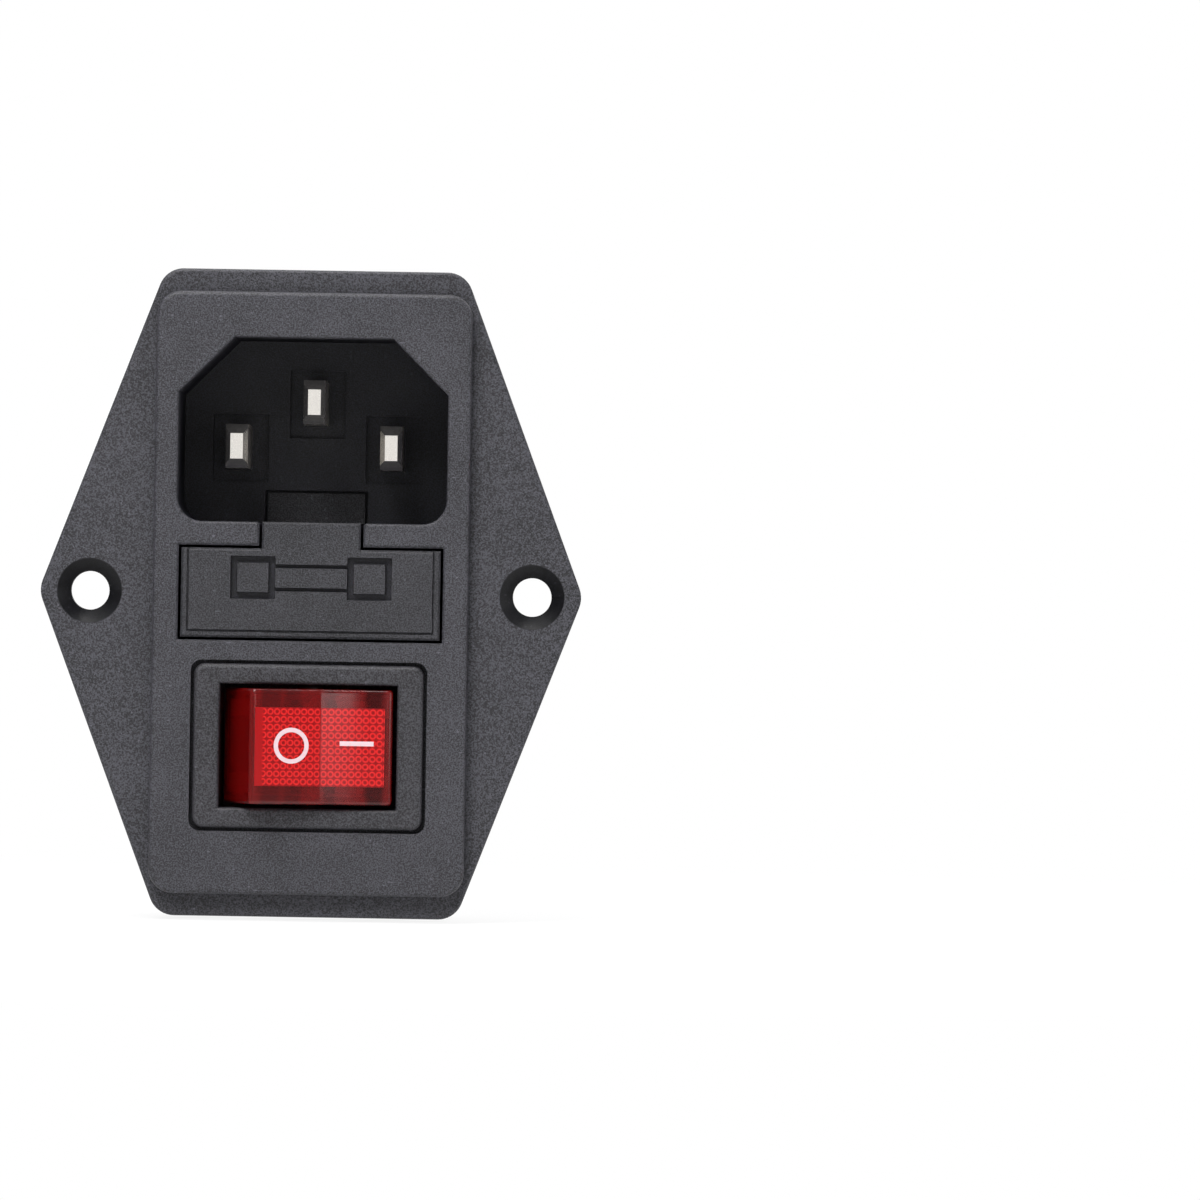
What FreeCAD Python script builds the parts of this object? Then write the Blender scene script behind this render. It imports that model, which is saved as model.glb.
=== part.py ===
import FreeCAD, Part
import math
import os
from types import SimpleNamespace

import Sketcher
from FreeCAD import Placement, Rotation, Vector

# Fused power entry module: an appliance inlet, a fuse drawer and a lit rocker switch in one housing.
# X runs to the right seen from the front, Y from the front to the back, Z up.
# The origin is on the back of the flange, midway between the two screw holes.
# Lengths are in millimetres and angles in degrees.
SIZES = {
    # Flange, raised panel and screw holes
    "flange_height": 58.5,
    "flange_reach": 4.6,
    "flange_margin": 0.05,
    "flange_thick": 2.8,
    "flange_corner": 2.3,
    "flange_tip": 2.5,
    "flange_edge": 0.3,
    "panel_lip": 0.55,
    "panel_inset": 2.05,
    "panel_rise": 1.6,
    "panel_corner": 2.2,
    "panel_edge": 0.4,
    "screw_spacing": 40.0,
    "screw_hole": 3.5,
    "screw_head": 5.8,
    # Rear body and appliance inlet
    "body_width": 27.4,
    "inlet_wall": 1.55,
    "inlet_height": 16.65,
    "inlet_slope": 5.0,
    "inlet_corner": 2.2,
    "inlet_depth": 16.6,
    "inlet_middle": 14.75,
    "inlet_edge": 0.25,
    "back_wall": 2.6,
    # Inlet pins, their seats and their staked ends
    "pin_spacing": 14.0,
    "pin_line": 13.3,
    "earth_rise": 4.05,
    "pin_wide": 2.0,
    "pin_tall": 4.0,
    "pin_reach": 13.0,
    "earth_extra": 0.8,
    "pin_slope": 0.85,
    "pin_tip": 0.43,
    "seat_wide": 5.1,
    "seat_tall": 6.2,
    "seat_deep": 0.9,
    "neck_wide": 1.9,
    "neck_room": 0.05,
    "stake_wide": 2.9,
    "stake_high": 0.7,
    "stake_groove": 0.55,
    # Rear terminals and the link strap
    "plate_wide": 6.1,
    "plate_thick": 0.8,
    "plate_edge": 2.35,
    "plate_clip": 1.1,
    "plate_rim": 0.12,
    "bend_reach": 2.1,
    "bend_radius": 0.4,
    "tab_long": 8.0,
    "tab_lean": 12.0,
    "tab_neck": 2.0,
    "tab_shoulder": 0.5,
    "tab_clip": 1.0,
    "tab_hole": 1.7,
    "strap_wide": 5.2,
    "strap_end": 2.9,
    "strap_neck": 2.5,
    "strap_corner": 0.4,
    # Ribs on the back
    "rib_high": 2.7,
    "rib_thick": 1.2,
    "pocket_gap": 0.4,
    "pocket_head": 1.9,
    "post_top": 3.1,
    "post_wide": 1.75,
    "post_round": 0.6,
    "earth_foot": 3.2,
    "earth_taper": 1.4,
    "foot_drop": 1.8,
    "load_arm": 1.5,
    "mark_wide": 2.9,
    "mark_deep": 0.2,
    "mark_spacing": 14.2,
    "mark_up": 6.9,
    "vent_wide": 5.0,
    # Fuse drawer, its bay, the fuse and its clips
    "bay_wall": 1.75,
    "bay_edge": 0.2,
    "drawer_above": 3.83,
    "drawer_below": 4.24,
    "drawer_gap": 0.25,
    "drawer_face": 2.4,
    "drawer_border": 0.5,
    "drawer_field": 0.8,
    "drawer_edge": 0.2,
    "drawer_stem": 8.9,
    "drawer_arm": 0.8,
    "arm_inset": 0.3,
    "block_gap": 0.75,
    "arm_tall": 4.4,
    "arm_gap": 0.6,
    "lug_tall": 2.8,
    "lug_thick": 1.2,
    "fuse_line": 0.2,
    "fuse_end": 0.6,
    "fuse_cap": 5.2,
    "fuse_cap_long": 5.5,
    "fuse_cap_skin": 0.3,
    "fuse_glass": 0.5,
    "fuse_wire": 0.3,
    "fuse_room": 0.1,
    "fuse_behind": 4.1,
    "clip_wide": 4.4,
    "clip_skin": 0.5,
    "clip_room": 0.15,
    "clip_long": 6.9,
    "clip_flare": 0.45,
    # Switch well behind the panel
    "switch_line": -13.8,
    "well_wall": 1.4,
    "well_height": 15.6,
    "well_floor_wall": 1.25,
    "well_corner": 1.2,
    "rim_corner": 2.3,
    "rim_start": 2.7,
    "exit_wide": 12.0,
    "exit_slope": 2.4,
    "exit_deep": 7.6,
    "seat_wall": 1.6,
    # Switch case
    "bezel_width": 20.75,
    "bezel_height": 14.85,
    "bezel_thick": 1.8,
    "bezel_proud": 0.2,
    "bezel_gap": 0.3,
    "bezel_corner": 1.0,
    "bezel_edge": 0.45,
    "case_width": 18.9,
    "case_height": 13.0,
    "case_deep": 12.4,
    "case_floor": 1.4,
    "case_room": 0.2,
    "case_relief": 0.7,
    "case_relief_tall": 3.6,
    "mouth_width": 16.0,
    "mouth_height": 11.2,
    "mouth_edge": 0.3,
    "latch_out": 0.55,
    "latch_wide": 6.0,
    "latch_long": 5.0,
    "barrier_thick": 1.3,
    "barrier_high": 3.2,
    "barrier_long": 13.7,
    "pad_high": 0.6,
    "pad_drop": 1.4,
    "block_wide": 1.5,
    "block_tall": 1.2,
    # Rocker, its trunnions, plungers and springs
    "rocker_top": 12.9,
    "rocker_rise": 6.67,
    "rocker_dip": 0.6,
    "rocker_wide": 10.4,
    "rocker_swing": 22.0,
    "rocker_skin": 1.2,
    "rocker_side": 1.0,
    "rocker_edge": 0.5,
    "rocker_rim": 0.3,
    "rocker_keel": 2.2,
    "rocker_keel_wide": 6.0,
    "pivot_deep": 5.0,
    "trunnion": 2.4,
    "trunnion_out": 0.9,
    "trunnion_room": 0.1,
    "lane": 3.6,
    "boss_wide": 3.2,
    "boss_bore": 2.2,
    "boss_end": 1.0,
    "plunger_wide": 2.0,
    "plunger_stem": 1.2,
    "plunger_head": 1.4,
    "plunger_gap": 0.12,
    "spring_wide": 1.8,
    "spring_wire": 0.26,
    "spring_turns": 4.0,
    # Contact levers and switch terminals
    "fulcrum_deep": 5.6,
    "lever_skin": 0.55,
    "lever_lift": 0.05,
    "lever_room": 0.05,
    "lever_wide": 2.0,
    "lever_long": 13.4,
    "lever_swing": 14.0,
    "contact_at": 5.1,
    "contact_wide": 1.8,
    "contact_high": 0.4,
    "contact_gap": 0.1,
    "rail_skin": 0.5,
    "rail_wide": 2.0,
    "blade_skin": 0.7,
    "tag_wide": 4.9,
    "tag_skin": 0.8,
    "tag_long": 8.5,
    "tag_clip": 0.8,
    "tag_hole": 1.7,
    "tag_hole_at": 3.0,
    "tag_room": 0.05,
    "ear_at": 3.6,
    "ear_long": 1.0,
    "ear_out": 0.8,
    "feed_at": 3.7,
    "feed_line": 4.2,
    "contact_line": 3.0,
    # Indicator lamp, its resistor and leads
    "lamp_wide": 2.8,
    "lamp_long": 8.0,
    "lamp_at": -1.5,
    "lamp_deep": 2.6,
    "lead_wire": 0.5,
    "lead_at": 3.3,
    "lead_line": 1.7,
    "lead_pitch": 1.2,
    "lead_run": 0.9,
    "lead_bend": 0.4,
    "sleeve_wide": 1.3,
    "sleeve_up": 2.8,
    "resistor_wide": 1.4,
    "resistor_long": 3.0,
    "resistor_down": 1.4,
}


class Size:
    """A number worked from the sheet, with the formula that ties it there."""

    def __init__(self, value, formula):
        self.value = value
        self.formula = formula

    @staticmethod
    def of(number):
        if isinstance(number, Size):
            return number
        return Size(float(number), repr(float(number)))

    def _join(self, other, sign, value):
        return Size(value, f"({self.formula} {sign} {other.formula})")

    def __add__(self, other):
        other = Size.of(other)
        return self._join(other, "+", self.value + other.value)

    def __sub__(self, other):
        other = Size.of(other)
        return self._join(other, "-", self.value - other.value)

    def __mul__(self, other):
        other = Size.of(other)
        return self._join(other, "*", self.value * other.value)

    def __truediv__(self, other):
        other = Size.of(other)
        return self._join(other, "/", self.value / other.value)

    def __radd__(self, other):
        return Size.of(other) + self

    def __rsub__(self, other):
        return Size.of(other) - self

    def __rmul__(self, other):
        return Size.of(other) * self

    def __neg__(self):
        return Size.of(0) - self

    def sin(self):
        return Size(math.sin(math.radians(self.value)), f"sin({self.formula} * 1 deg)")

    def cos(self):
        return Size(math.cos(math.radians(self.value)), f"cos({self.formula} * 1 deg)")

    def tan(self):
        return Size(math.tan(math.radians(self.value)), f"tan({self.formula} * 1 deg)")


doc = FreeCAD.newDocument("power_entry_module")
sheet = doc.addObject("Spreadsheet::Sheet", "Sizes")
for row, (alias, number) in enumerate(SIZES.items(), 1):
    sheet.set(f"A{row}", str(number))
    sheet.setAlias(f"A{row}", alias)
doc.recompute()
S = SimpleNamespace(**{name: Size(number, f"Sizes.{name}") for name, number in SIZES.items()})
NEAR = 1e-4
AXIS = {"YZ_Plane": 0, "XZ_Plane": 1, "XY_Plane": 2}
parts = []


def new_part(label):
    """Start a sub-part: a body whose label names its file."""
    body = doc.addObject("PartDesign::Body", label)
    body.Label = label
    parts.append(body)
    return body


def place(part, x=0, y=0, z=0, axis=(0, 0, 1), turn=0):
    """Put a finished sub-part at its place, turned about one axis."""
    part.Placement = Placement(Vector(), Rotation(Vector(*axis), Size.of(turn).value))
    for letter, number in zip("xyz", (x, y, z)):
        part.setExpression(f"Placement.Base.{letter}", Size.of(number).formula)
    doc.recompute()


def hold(sketch, kind, index, spot, number):
    """Fix one coordinate of a sketch point, or a circle's diameter, by its formula."""
    number = Size.of(number)
    if kind == "Diameter":
        rule = Sketcher.Constraint(kind, index, number.value)
    else:
        rule = Sketcher.Constraint(kind, -1, 1, index, spot, number.value)
    sketch.setExpression(f"Constraints[{sketch.addConstraint(rule)}]", number.formula)


def draw_polygon(sketch, points):
    """A closed run of straight edges whose corners are tied to the sheet."""
    corners = [Vector(Size.of(u).value, Size.of(v).value, 0) for u, v in points]
    first = sketch.GeometryCount
    count = len(corners)
    for i in range(count):
        sketch.addGeometry(Part.LineSegment(corners[i], corners[(i + 1) % count]))
    for i in range(count):
        rule = Sketcher.Constraint("Coincident", first + i, 2, first + (i + 1) % count, 1)
        sketch.addConstraint(rule)
    for i, (u, v) in enumerate(points):
        hold(sketch, "DistanceX", first + i, 1, u)
        hold(sketch, "DistanceY", first + i, 1, v)


def draw_circle(sketch, u, v, width):
    """A circle given by its centre and diameter."""
    centre = Vector(Size.of(u).value, Size.of(v).value, 0)
    index = sketch.addGeometry(Part.Circle(centre, Vector(0, 0, 1), Size.of(width).value / 2))
    hold(sketch, "DistanceX", index, 3, u)
    hold(sketch, "DistanceY", index, 3, v)
    hold(sketch, "Diameter", index, 0, width)


def box(u0, u1, v0, v1):
    """The corners of an upright rectangle."""
    return [(u0, v0), (u1, v0), (u1, v1), (u0, v1)]


def centred(wide, tall, u=0, v=0):
    """The corners of a rectangle about a middle point."""
    return box(u - wide / 2, u + wide / 2, v - tall / 2, v + tall / 2)


def mirrored(side, near, far):
    """The span from near to far on the upper side, or its mirror image on the lower side."""
    return (near, far) if side > 0 else (-far, -near)


def sketch_on(body, plane, shapes, height):
    """A sketch of polygons and circles on one of the body's own planes, at a height above it."""
    sketch = body.newObject("Sketcher::SketchObject", "outline")
    role = [feature for feature in body.Origin.OriginFeatures if feature.Role == plane][0]
    sketch.AttachmentSupport = [(role, "")]
    sketch.MapMode = "FlatFace"
    height = -Size.of(height) if plane == "XZ_Plane" else Size.of(height)
    sketch.setExpression("AttachmentOffset.Base.z", height.formula)
    for shape in shapes:
        if isinstance(shape, tuple):
            draw_circle(sketch, *shape)
        else:
            draw_polygon(sketch, shape)
    return sketch


def extrude(body, plane, shapes, low, high):
    """Add material over an outline, between two heights."""
    start = high if plane == "XZ_Plane" else low
    sketch = sketch_on(body, plane, shapes, start)
    pad = body.newObject("PartDesign::Pad", "solid")
    pad.Profile = sketch
    pad.setExpression("Length", (Size.of(high) - low).formula)
    doc.recompute()


def cut(body, plane, shapes, low, high):
    """Take material away over an outline, between two heights."""
    start = low if plane == "XZ_Plane" else high
    before = body.Tip.Shape.Volume
    sketch = sketch_on(body, plane, shapes, start)
    pocket = body.newObject("PartDesign::Pocket", "hollow")
    pocket.Profile = sketch
    pocket.setExpression("Length", (Size.of(high) - low).formula)
    doc.recompute()
    if not body.Tip.Shape.Volume < before - NEAR:
        raise ValueError(f"{body.Label}: a cut takes nothing away")


def revolve(body, plane, points, axis):
    """Turn a closed outline about one of its sketch's axes."""
    sketch = sketch_on(body, plane, [points], 0)
    turned = body.newObject("PartDesign::Revolution", "turned")
    turned.Profile = sketch
    turned.ReferenceAxis = (sketch, [axis])
    turned.Angle = 360
    doc.recompute()


def dress(body, kind, amount, wanted):
    """Round or bevel the edges of the solid so far that are wanted."""
    base = body.Tip
    names = [f"Edge{i}" for i, edge in enumerate(base.Shape.Edges, 1) if wanted(edge)]
    if not names:
        raise ValueError(f"{body.Label}: no edge to dress")
    feature = body.newObject(f"PartDesign::{kind}", kind.lower())
    feature.Base = (base, names)
    feature.setExpression("Radius" if kind == "Fillet" else "Size", Size.of(amount).formula)
    doc.recompute()


def corners(plane, points, low=-math.inf, high=math.inf):
    """A test for the edges that stand on given corners of a plane, within a span of heights."""
    axis = AXIS[plane]
    flat = [i for i in range(3) if i != axis]
    spots = [(Size.of(u).value, Size.of(v).value) for u, v in points]
    low, high = Size.of(low).value, Size.of(high).value

    def wanted(edge):
        ends = [vertex.Point for vertex in edge.Vertexes]
        if len(ends) < 2 or not low - NEAR <= min(p[axis] for p in ends):
            return False
        if max(p[axis] for p in ends) > high + NEAR:
            return False
        feet = [(point[flat[0]], point[flat[1]]) for point in ends]
        return any(all(math.dist(foot, spot) < NEAR for foot in feet) for spot in spots)

    return wanted


def level(plane, height, inside=None):
    """A test for the edges that lie at one height over a plane, within a box of that plane."""
    axis = AXIS[plane]
    flat = [i for i in range(3) if i != axis]
    height = Size.of(height).value
    limits = [[Size.of(number).value for number in pair] for pair in inside] if inside else None

    def wanted(edge):
        bounds = edge.BoundBox
        low = (bounds.XMin, bounds.YMin, bounds.ZMin)
        high = (bounds.XMax, bounds.YMax, bounds.ZMax)
        if abs(low[axis] - height) > NEAR or abs(high[axis] - height) > NEAR:
            return False
        if limits is None:
            return True
        return all(low[i] > pair[0] - NEAR and high[i] < pair[1] + NEAR for i, pair in zip(flat, limits))

    return wanted


# Heights along Y that several pieces share
panel_front = -(S.flange_thick + S.panel_rise)
inlet_floor = panel_front + S.inlet_depth
back = inlet_floor + S.back_wall
rib_top = back + S.rib_high
plate_top = back + S.plate_thick
bezel_seat = panel_front + S.bezel_thick
bezel_front = panel_front - S.bezel_proud
seat_back = bezel_seat + S.seat_wall
case_back = bezel_seat + S.case_deep
case_inside = case_back - S.case_floor
pivot_y = bezel_front + S.pivot_deep
fulcrum_y = pivot_y + S.fulcrum_deep
tag_tip = case_back + S.tag_long
ear_top = tag_tip - S.ear_at
fuse_y = inlet_floor - S.clip_skin - S.fuse_behind

# Places across the front that several pieces share
inlet_low = S.inlet_middle - S.inlet_height / 2
inlet_high = S.inlet_middle + S.inlet_height / 2
body_half = S.body_width / 2
panel_half = body_half + S.panel_lip
inlet_half = body_half - S.inlet_wall
body_top = inlet_high + S.inlet_wall
body_slope = S.inlet_slope + S.inlet_wall * (2 - math.sqrt(2))
well_half = body_half - S.well_wall
well_low = S.switch_line - S.well_height / 2
well_high = S.switch_line + S.well_height / 2
body_low = well_low - S.well_floor_wall
earth_line = S.pin_line + S.earth_rise
pin_x = S.pin_spacing / 2
bay_half = body_half - S.bay_wall
drawer_half = bay_half - S.drawer_gap
arm_out = drawer_half - S.arm_inset
arm_in = arm_out - S.drawer_arm
fuse_half = arm_in - S.fuse_end
clip_x = arm_in - S.drawer_gap - S.clip_wide / 2
block_half = clip_x - S.clip_wide / 2 - S.block_gap
drawer_low = S.fuse_line - S.drawer_below
drawer_high = S.fuse_line + S.drawer_above
bay_low = drawer_low - S.drawer_gap
bay_high = drawer_high + S.drawer_gap
stem_half = S.drawer_stem / 2
slot_half = stem_half + S.drawer_gap
lug_high = inlet_low + S.lug_tall
neck_hole = S.neck_wide + 2 * S.neck_room
PINS = [(-pin_x, S.pin_line), (pin_x, S.pin_line), (0, earth_line)]
STUDS = PINS + [(-clip_x, S.fuse_line), (clip_x, S.fuse_line)]


def rib_outline():
    """The raised ribs that fence the terminal plates on the back, as one closed outline."""
    half = S.plate_wide / 2 + S.pocket_gap
    roof = S.pin_line + S.plate_edge + S.pocket_head
    crown = roof + S.rib_thick
    shoulder = roof - S.pocket_head
    post = half + S.post_wide
    tower = earth_line + S.post_top
    sill = earth_line - S.earth_foot
    waist = half - S.earth_taper
    foot = S.pin_line - S.foot_drop
    inner = pin_x - half
    outer = pin_x + half
    knee = inner + S.plate_clip
    far = outer - S.plate_clip
    load_in = clip_x - half
    load_out = clip_x + half
    load_roof = S.fuse_line + S.plate_edge + S.pocket_head
    load_crown = load_roof + S.rib_thick
    load_end = S.fuse_line - S.load_arm
    right = [(waist, sill), (half, sill + S.earth_foot - 1), (half, tower), (post, tower), (post, crown),
             (body_half, crown), (body_half, load_end), (load_out, load_end),
             (load_out, load_roof - S.pocket_head),
             (load_out - S.plate_clip, load_roof), (load_in + S.plate_clip, load_roof),
             (load_in, load_roof - S.pocket_head), (load_in, load_end), (load_in - S.rib_thick, load_end),
             (load_in - S.rib_thick, load_crown), (outer, load_crown), (outer, shoulder), (far, roof),
             (knee, roof), (inner, shoulder), (inner, foot), (waist, foot), (waist, sill - S.rib_thick)]
    left = [(-waist, sill - S.rib_thick), (-waist, foot), (-inner, foot), (-inner, shoulder), (-knee, roof),
            (-far, roof), (-outer, shoulder), (-outer, foot), (-body_half, foot), (-body_half, crown),
            (-post, crown), (-post, tower), (-half, tower), (-half, sill + S.earth_foot - 1), (-waist, sill)]
    return right + left


def make_housing():
    """The one-piece moulding: flange, raised panel, inlet, drawer bay and switch well."""
    body = new_part("housing")
    tip = S.screw_spacing / 2 + S.flange_reach
    tall = S.flange_height / 2
    panel_tall = tall - S.panel_inset
    top = tip - (tip - panel_half - S.flange_margin) * tall / panel_tall
    hexagon = [(tip, 0), (top, tall), (-top, tall), (-tip, 0), (-top, -tall), (top, -tall)]
    extrude(body, "XZ_Plane", [hexagon], -S.flange_thick, 0)
    dress(body, "Fillet", S.flange_corner, corners("XZ_Plane", [p for p in hexagon if p[1] != 0]))
    dress(body, "Fillet", S.flange_tip, corners("XZ_Plane", [p for p in hexagon if p[1] == 0]))
    panel = box(-panel_half, panel_half, -panel_tall, panel_tall)
    extrude(body, "XZ_Plane", [panel], panel_front, -S.flange_thick)
    dress(body, "Fillet", S.panel_corner, corners("XZ_Plane", panel))
    dress(body, "Fillet", S.panel_edge, level("XZ_Plane", panel_front))
    on_front = level("XZ_Plane", -S.flange_thick)
    on_panel = level("XZ_Plane", -S.flange_thick, [(-panel_half, panel_half), (-panel_tall, panel_tall)])
    dress(body, "Fillet", S.flange_edge, lambda edge: on_front(edge) and not on_panel(edge))
    shell = [(-body_half, body_low), (body_half, body_low), (body_half, body_top - body_slope),
             (body_half - body_slope, body_top), (body_slope - body_half, body_top),
             (-body_half, body_top - body_slope)]
    extrude(body, "XZ_Plane", [shell], 0, back)
    ribs = rib_outline()
    extrude(body, "XZ_Plane", [ribs], back, rib_top)
    rib_ends = ribs[2:4] + ribs[20:22] + ribs[24:26] + ribs[34:36]
    dress(body, "Fillet", S.post_round, corners("XZ_Plane", rib_ends, back, rib_top))
    rim_high = S.switch_line + S.rim_start
    extrude(body, "XZ_Plane", [box(-body_half, body_half, body_low, rim_high)], back, rib_top)
    low_corners = [(-body_half, body_low), (body_half, body_low)]
    dress(body, "Fillet", S.rim_corner, corners("XZ_Plane", low_corners))
    screws = [(-S.screw_spacing / 2, 0, S.screw_hole), (S.screw_spacing / 2, 0, S.screw_hole)]
    cut(body, "XZ_Plane", screws, -S.flange_thick, 0)
    reach = S.screw_spacing / 2 + S.screw_hole
    hole_box = [(-reach, reach), (-S.screw_hole, S.screw_hole)]
    front_rims = level("XZ_Plane", -S.flange_thick, hole_box)
    round_rims = lambda edge: front_rims(edge) and isinstance(edge.Curve, Part.Circle)
    dress(body, "Chamfer", (S.screw_head - S.screw_hole) / 2, round_rims)
    shoulder, crown = inlet_high - S.inlet_slope, inlet_half - S.inlet_slope
    inlet = [(-inlet_half, inlet_low), (inlet_half, inlet_low), (inlet_half, shoulder), (crown, inlet_high),
             (-crown, inlet_high), (-inlet_half, shoulder)]
    cut(body, "XZ_Plane", [inlet], panel_front, inlet_floor)
    dress(body, "Fillet", S.inlet_corner, corners("XZ_Plane", inlet[:2]))
    mouth = [(-inlet_half, inlet_half), (inlet_low, inlet_high)]
    dress(body, "Fillet", S.inlet_edge, level("XZ_Plane", panel_front, mouth))
    cut(body, "XZ_Plane", [box(-bay_half, bay_half, bay_low, bay_high)], panel_front, inlet_floor)
    cut(body, "XZ_Plane", [box(-slot_half, slot_half, bay_high, inlet_low)], panel_front, inlet_floor)
    in_bay = level("XZ_Plane", panel_front, [(-bay_half, bay_half), (bay_low, bay_high)])
    in_slot = level("XZ_Plane", panel_front, [(-slot_half, slot_half), (bay_high, inlet_low)])
    dress(body, "Chamfer", S.bay_edge, lambda edge: in_bay(edge) or in_slot(edge))
    lug_room = inlet_floor + S.lug_thick + S.drawer_gap
    window = box(-slot_half, slot_half, drawer_high - S.drawer_gap, lug_high + S.drawer_gap)
    cut(body, "XZ_Plane", [window], inlet_floor, lug_room)
    seats = [centred(S.seat_wide, S.seat_tall, x, z) for x, z in PINS]
    cut(body, "XZ_Plane", seats, inlet_floor, inlet_floor + S.seat_deep)
    necks = [centred(neck_hole, neck_hole, x, z) for x, z in STUDS]
    cut(body, "XZ_Plane", necks, inlet_floor, back)
    cut(body, "XZ_Plane", [(0, S.fuse_line, S.vent_wide)], inlet_floor, back)
    marks = [(-S.mark_spacing / 2, S.inlet_middle + S.mark_up, S.mark_wide),
             (S.mark_spacing / 2, S.inlet_middle + S.mark_up, S.mark_wide)]
    cut(body, "XZ_Plane", marks, back - S.mark_deep, back)
    bezel_hole = centred(S.bezel_width + 2 * S.bezel_gap, S.bezel_height + 2 * S.bezel_gap, 0, S.switch_line)
    cut(body, "XZ_Plane", [bezel_hole], panel_front, bezel_seat)
    dress(body, "Fillet", S.bezel_corner, corners("XZ_Plane", bezel_hole))
    case_hole = centred(S.case_width + 2 * S.case_room, S.case_height + 2 * S.case_room, 0, S.switch_line)
    cut(body, "XZ_Plane", [case_hole], bezel_seat, seat_back)
    well = box(-well_half, well_half, well_low, well_high)
    cut(body, "XZ_Plane", [well], seat_back, rib_top)
    dress(body, "Fillet", S.well_corner, corners("XZ_Plane", well))
    narrow, broad = S.exit_wide / 2, S.exit_wide / 2 + S.exit_slope
    exit_floor = rib_top - S.exit_deep
    gate = [(-narrow, exit_floor), (narrow, exit_floor), (broad, rib_top), (-broad, rib_top)]
    cut(body, "XY_Plane", [gate], body_low, well_low)


def add_stake(body, x, z, inside):
    """A square neck through the back wall and the plate, ending in a staked head with a cross pressed in."""
    extrude(body, "XZ_Plane", [centred(S.neck_wide, S.neck_wide, x, z)], inside, plate_top)
    head_top = plate_top + S.stake_high
    extrude(body, "XZ_Plane", [centred(S.stake_wide, S.stake_wide, x, z)], plate_top, head_top)
    half, slit = S.stake_wide / 2, S.stake_groove * 0.35
    head = [(x - half, z - half), (x + half, z - half), (x + half, z + half), (x - half, z + half)]
    bevel = (S.stake_wide - S.neck_wide) * 0.4
    dress(body, "Chamfer", bevel, corners("XZ_Plane", head, plate_top, head_top))
    for lean in (1, -1):
        groove = [(x + half + slit, z + lean * (half - slit)), (x + half - slit, z + lean * (half + slit)),
                  (x - half - slit, z - lean * (half - slit)), (x - half + slit, z - lean * (half + slit))]
        cut(body, "XZ_Plane", [groove], head_top - S.stake_groove / 2, head_top)


def make_pin(label, x, z, extra):
    """A flat inlet pin: bevelled blade, shoulder in its seat, and a neck staked over the plate."""
    body = new_part(label)
    seat = inlet_floor + S.seat_deep
    tip = inlet_floor - S.pin_reach - extra
    blade = centred(S.pin_wide, S.pin_tall, x, z)
    extrude(body, "XZ_Plane", [blade], tip, seat)
    at_tip = level("XZ_Plane", tip)
    dress(body, "Chamfer", S.pin_slope, lambda edge: at_tip(edge) and edge.BoundBox.ZLength < NEAR)
    dress(body, "Chamfer", S.pin_tip, lambda edge: at_tip(edge) and edge.BoundBox.XLength < NEAR)
    add_stake(body, x, z, seat)


def make_rivet(label, x):
    """The square rivet that holds a fuse clip inside to its plate outside."""
    body = new_part(label)
    clip_face = inlet_floor - S.clip_skin
    head = centred(S.stake_wide, S.stake_wide, x, S.fuse_line)
    extrude(body, "XZ_Plane", [head], clip_face - S.stake_high, clip_face)
    add_stake(body, x, S.fuse_line, clip_face)


def make_terminal(label, x, z, turn):
    """A plate staked on the back wall, with a shouldered tab folded up from one edge and leaning out."""
    body = new_part(label)
    skin, lean = S.plate_thick, S.tab_lean
    root = (skin, -S.bend_reach)
    end = (root[0] + S.tab_long * lean.cos(), root[1] - S.tab_long * lean.sin())
    outer_end = (end[0] - skin * lean.sin(), end[1] - skin * lean.cos())
    heel = (0, outer_end[1] + outer_end[0] * lean.tan())
    profile = [(0, S.plate_edge), (skin, S.plate_edge), root, end, outer_end, heel]
    half = S.plate_wide / 2
    extrude(body, "YZ_Plane", [profile], -half, half)
    dress(body, "Fillet", S.bend_radius, corners("YZ_Plane", [root]))
    dress(body, "Fillet", S.bend_radius + skin, corners("YZ_Plane", [heel]))
    dress(body, "Chamfer", S.plate_clip, corners("XZ_Plane", [(-half, S.plate_edge), (half, S.plate_edge)]))
    at_face = level("XZ_Plane", skin)
    dress(body, "Chamfer", S.plate_rim,
          lambda edge: at_face(edge) and (edge.BoundBox.ZLength > NEAR or edge.BoundBox.ZMin > 0))
    neck = half - S.tab_shoulder
    sides = [box(*mirrored(side, neck, half), skin + S.tab_neck, end[0] + skin) for side in (-1, 1)]
    cut(body, "XY_Plane", sides, heel[1] - S.tab_long / 2, root[1])
    tips = [Vector(side * neck.value, (end[0].value + outer_end[0].value) / 2,
                   (end[1].value + outer_end[1].value) / 2) for side in (-1, 1)]
    dress(body, "Chamfer", S.tab_clip,
          lambda edge: any(edge.CenterOfMass.distanceToPoint(spot) < NEAR for spot in tips))
    cut(body, "XZ_Plane", [centred(neck_hole, neck_hole)], 0, skin)
    hole_y = end[0] / 2 + skin
    cut(body, "XY_Plane", [(0, hole_y, S.tab_hole)], heel[1] - S.tab_long / 2, root[1])
    place(body, x, back, z, (0, 1, 0), turn)


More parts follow.
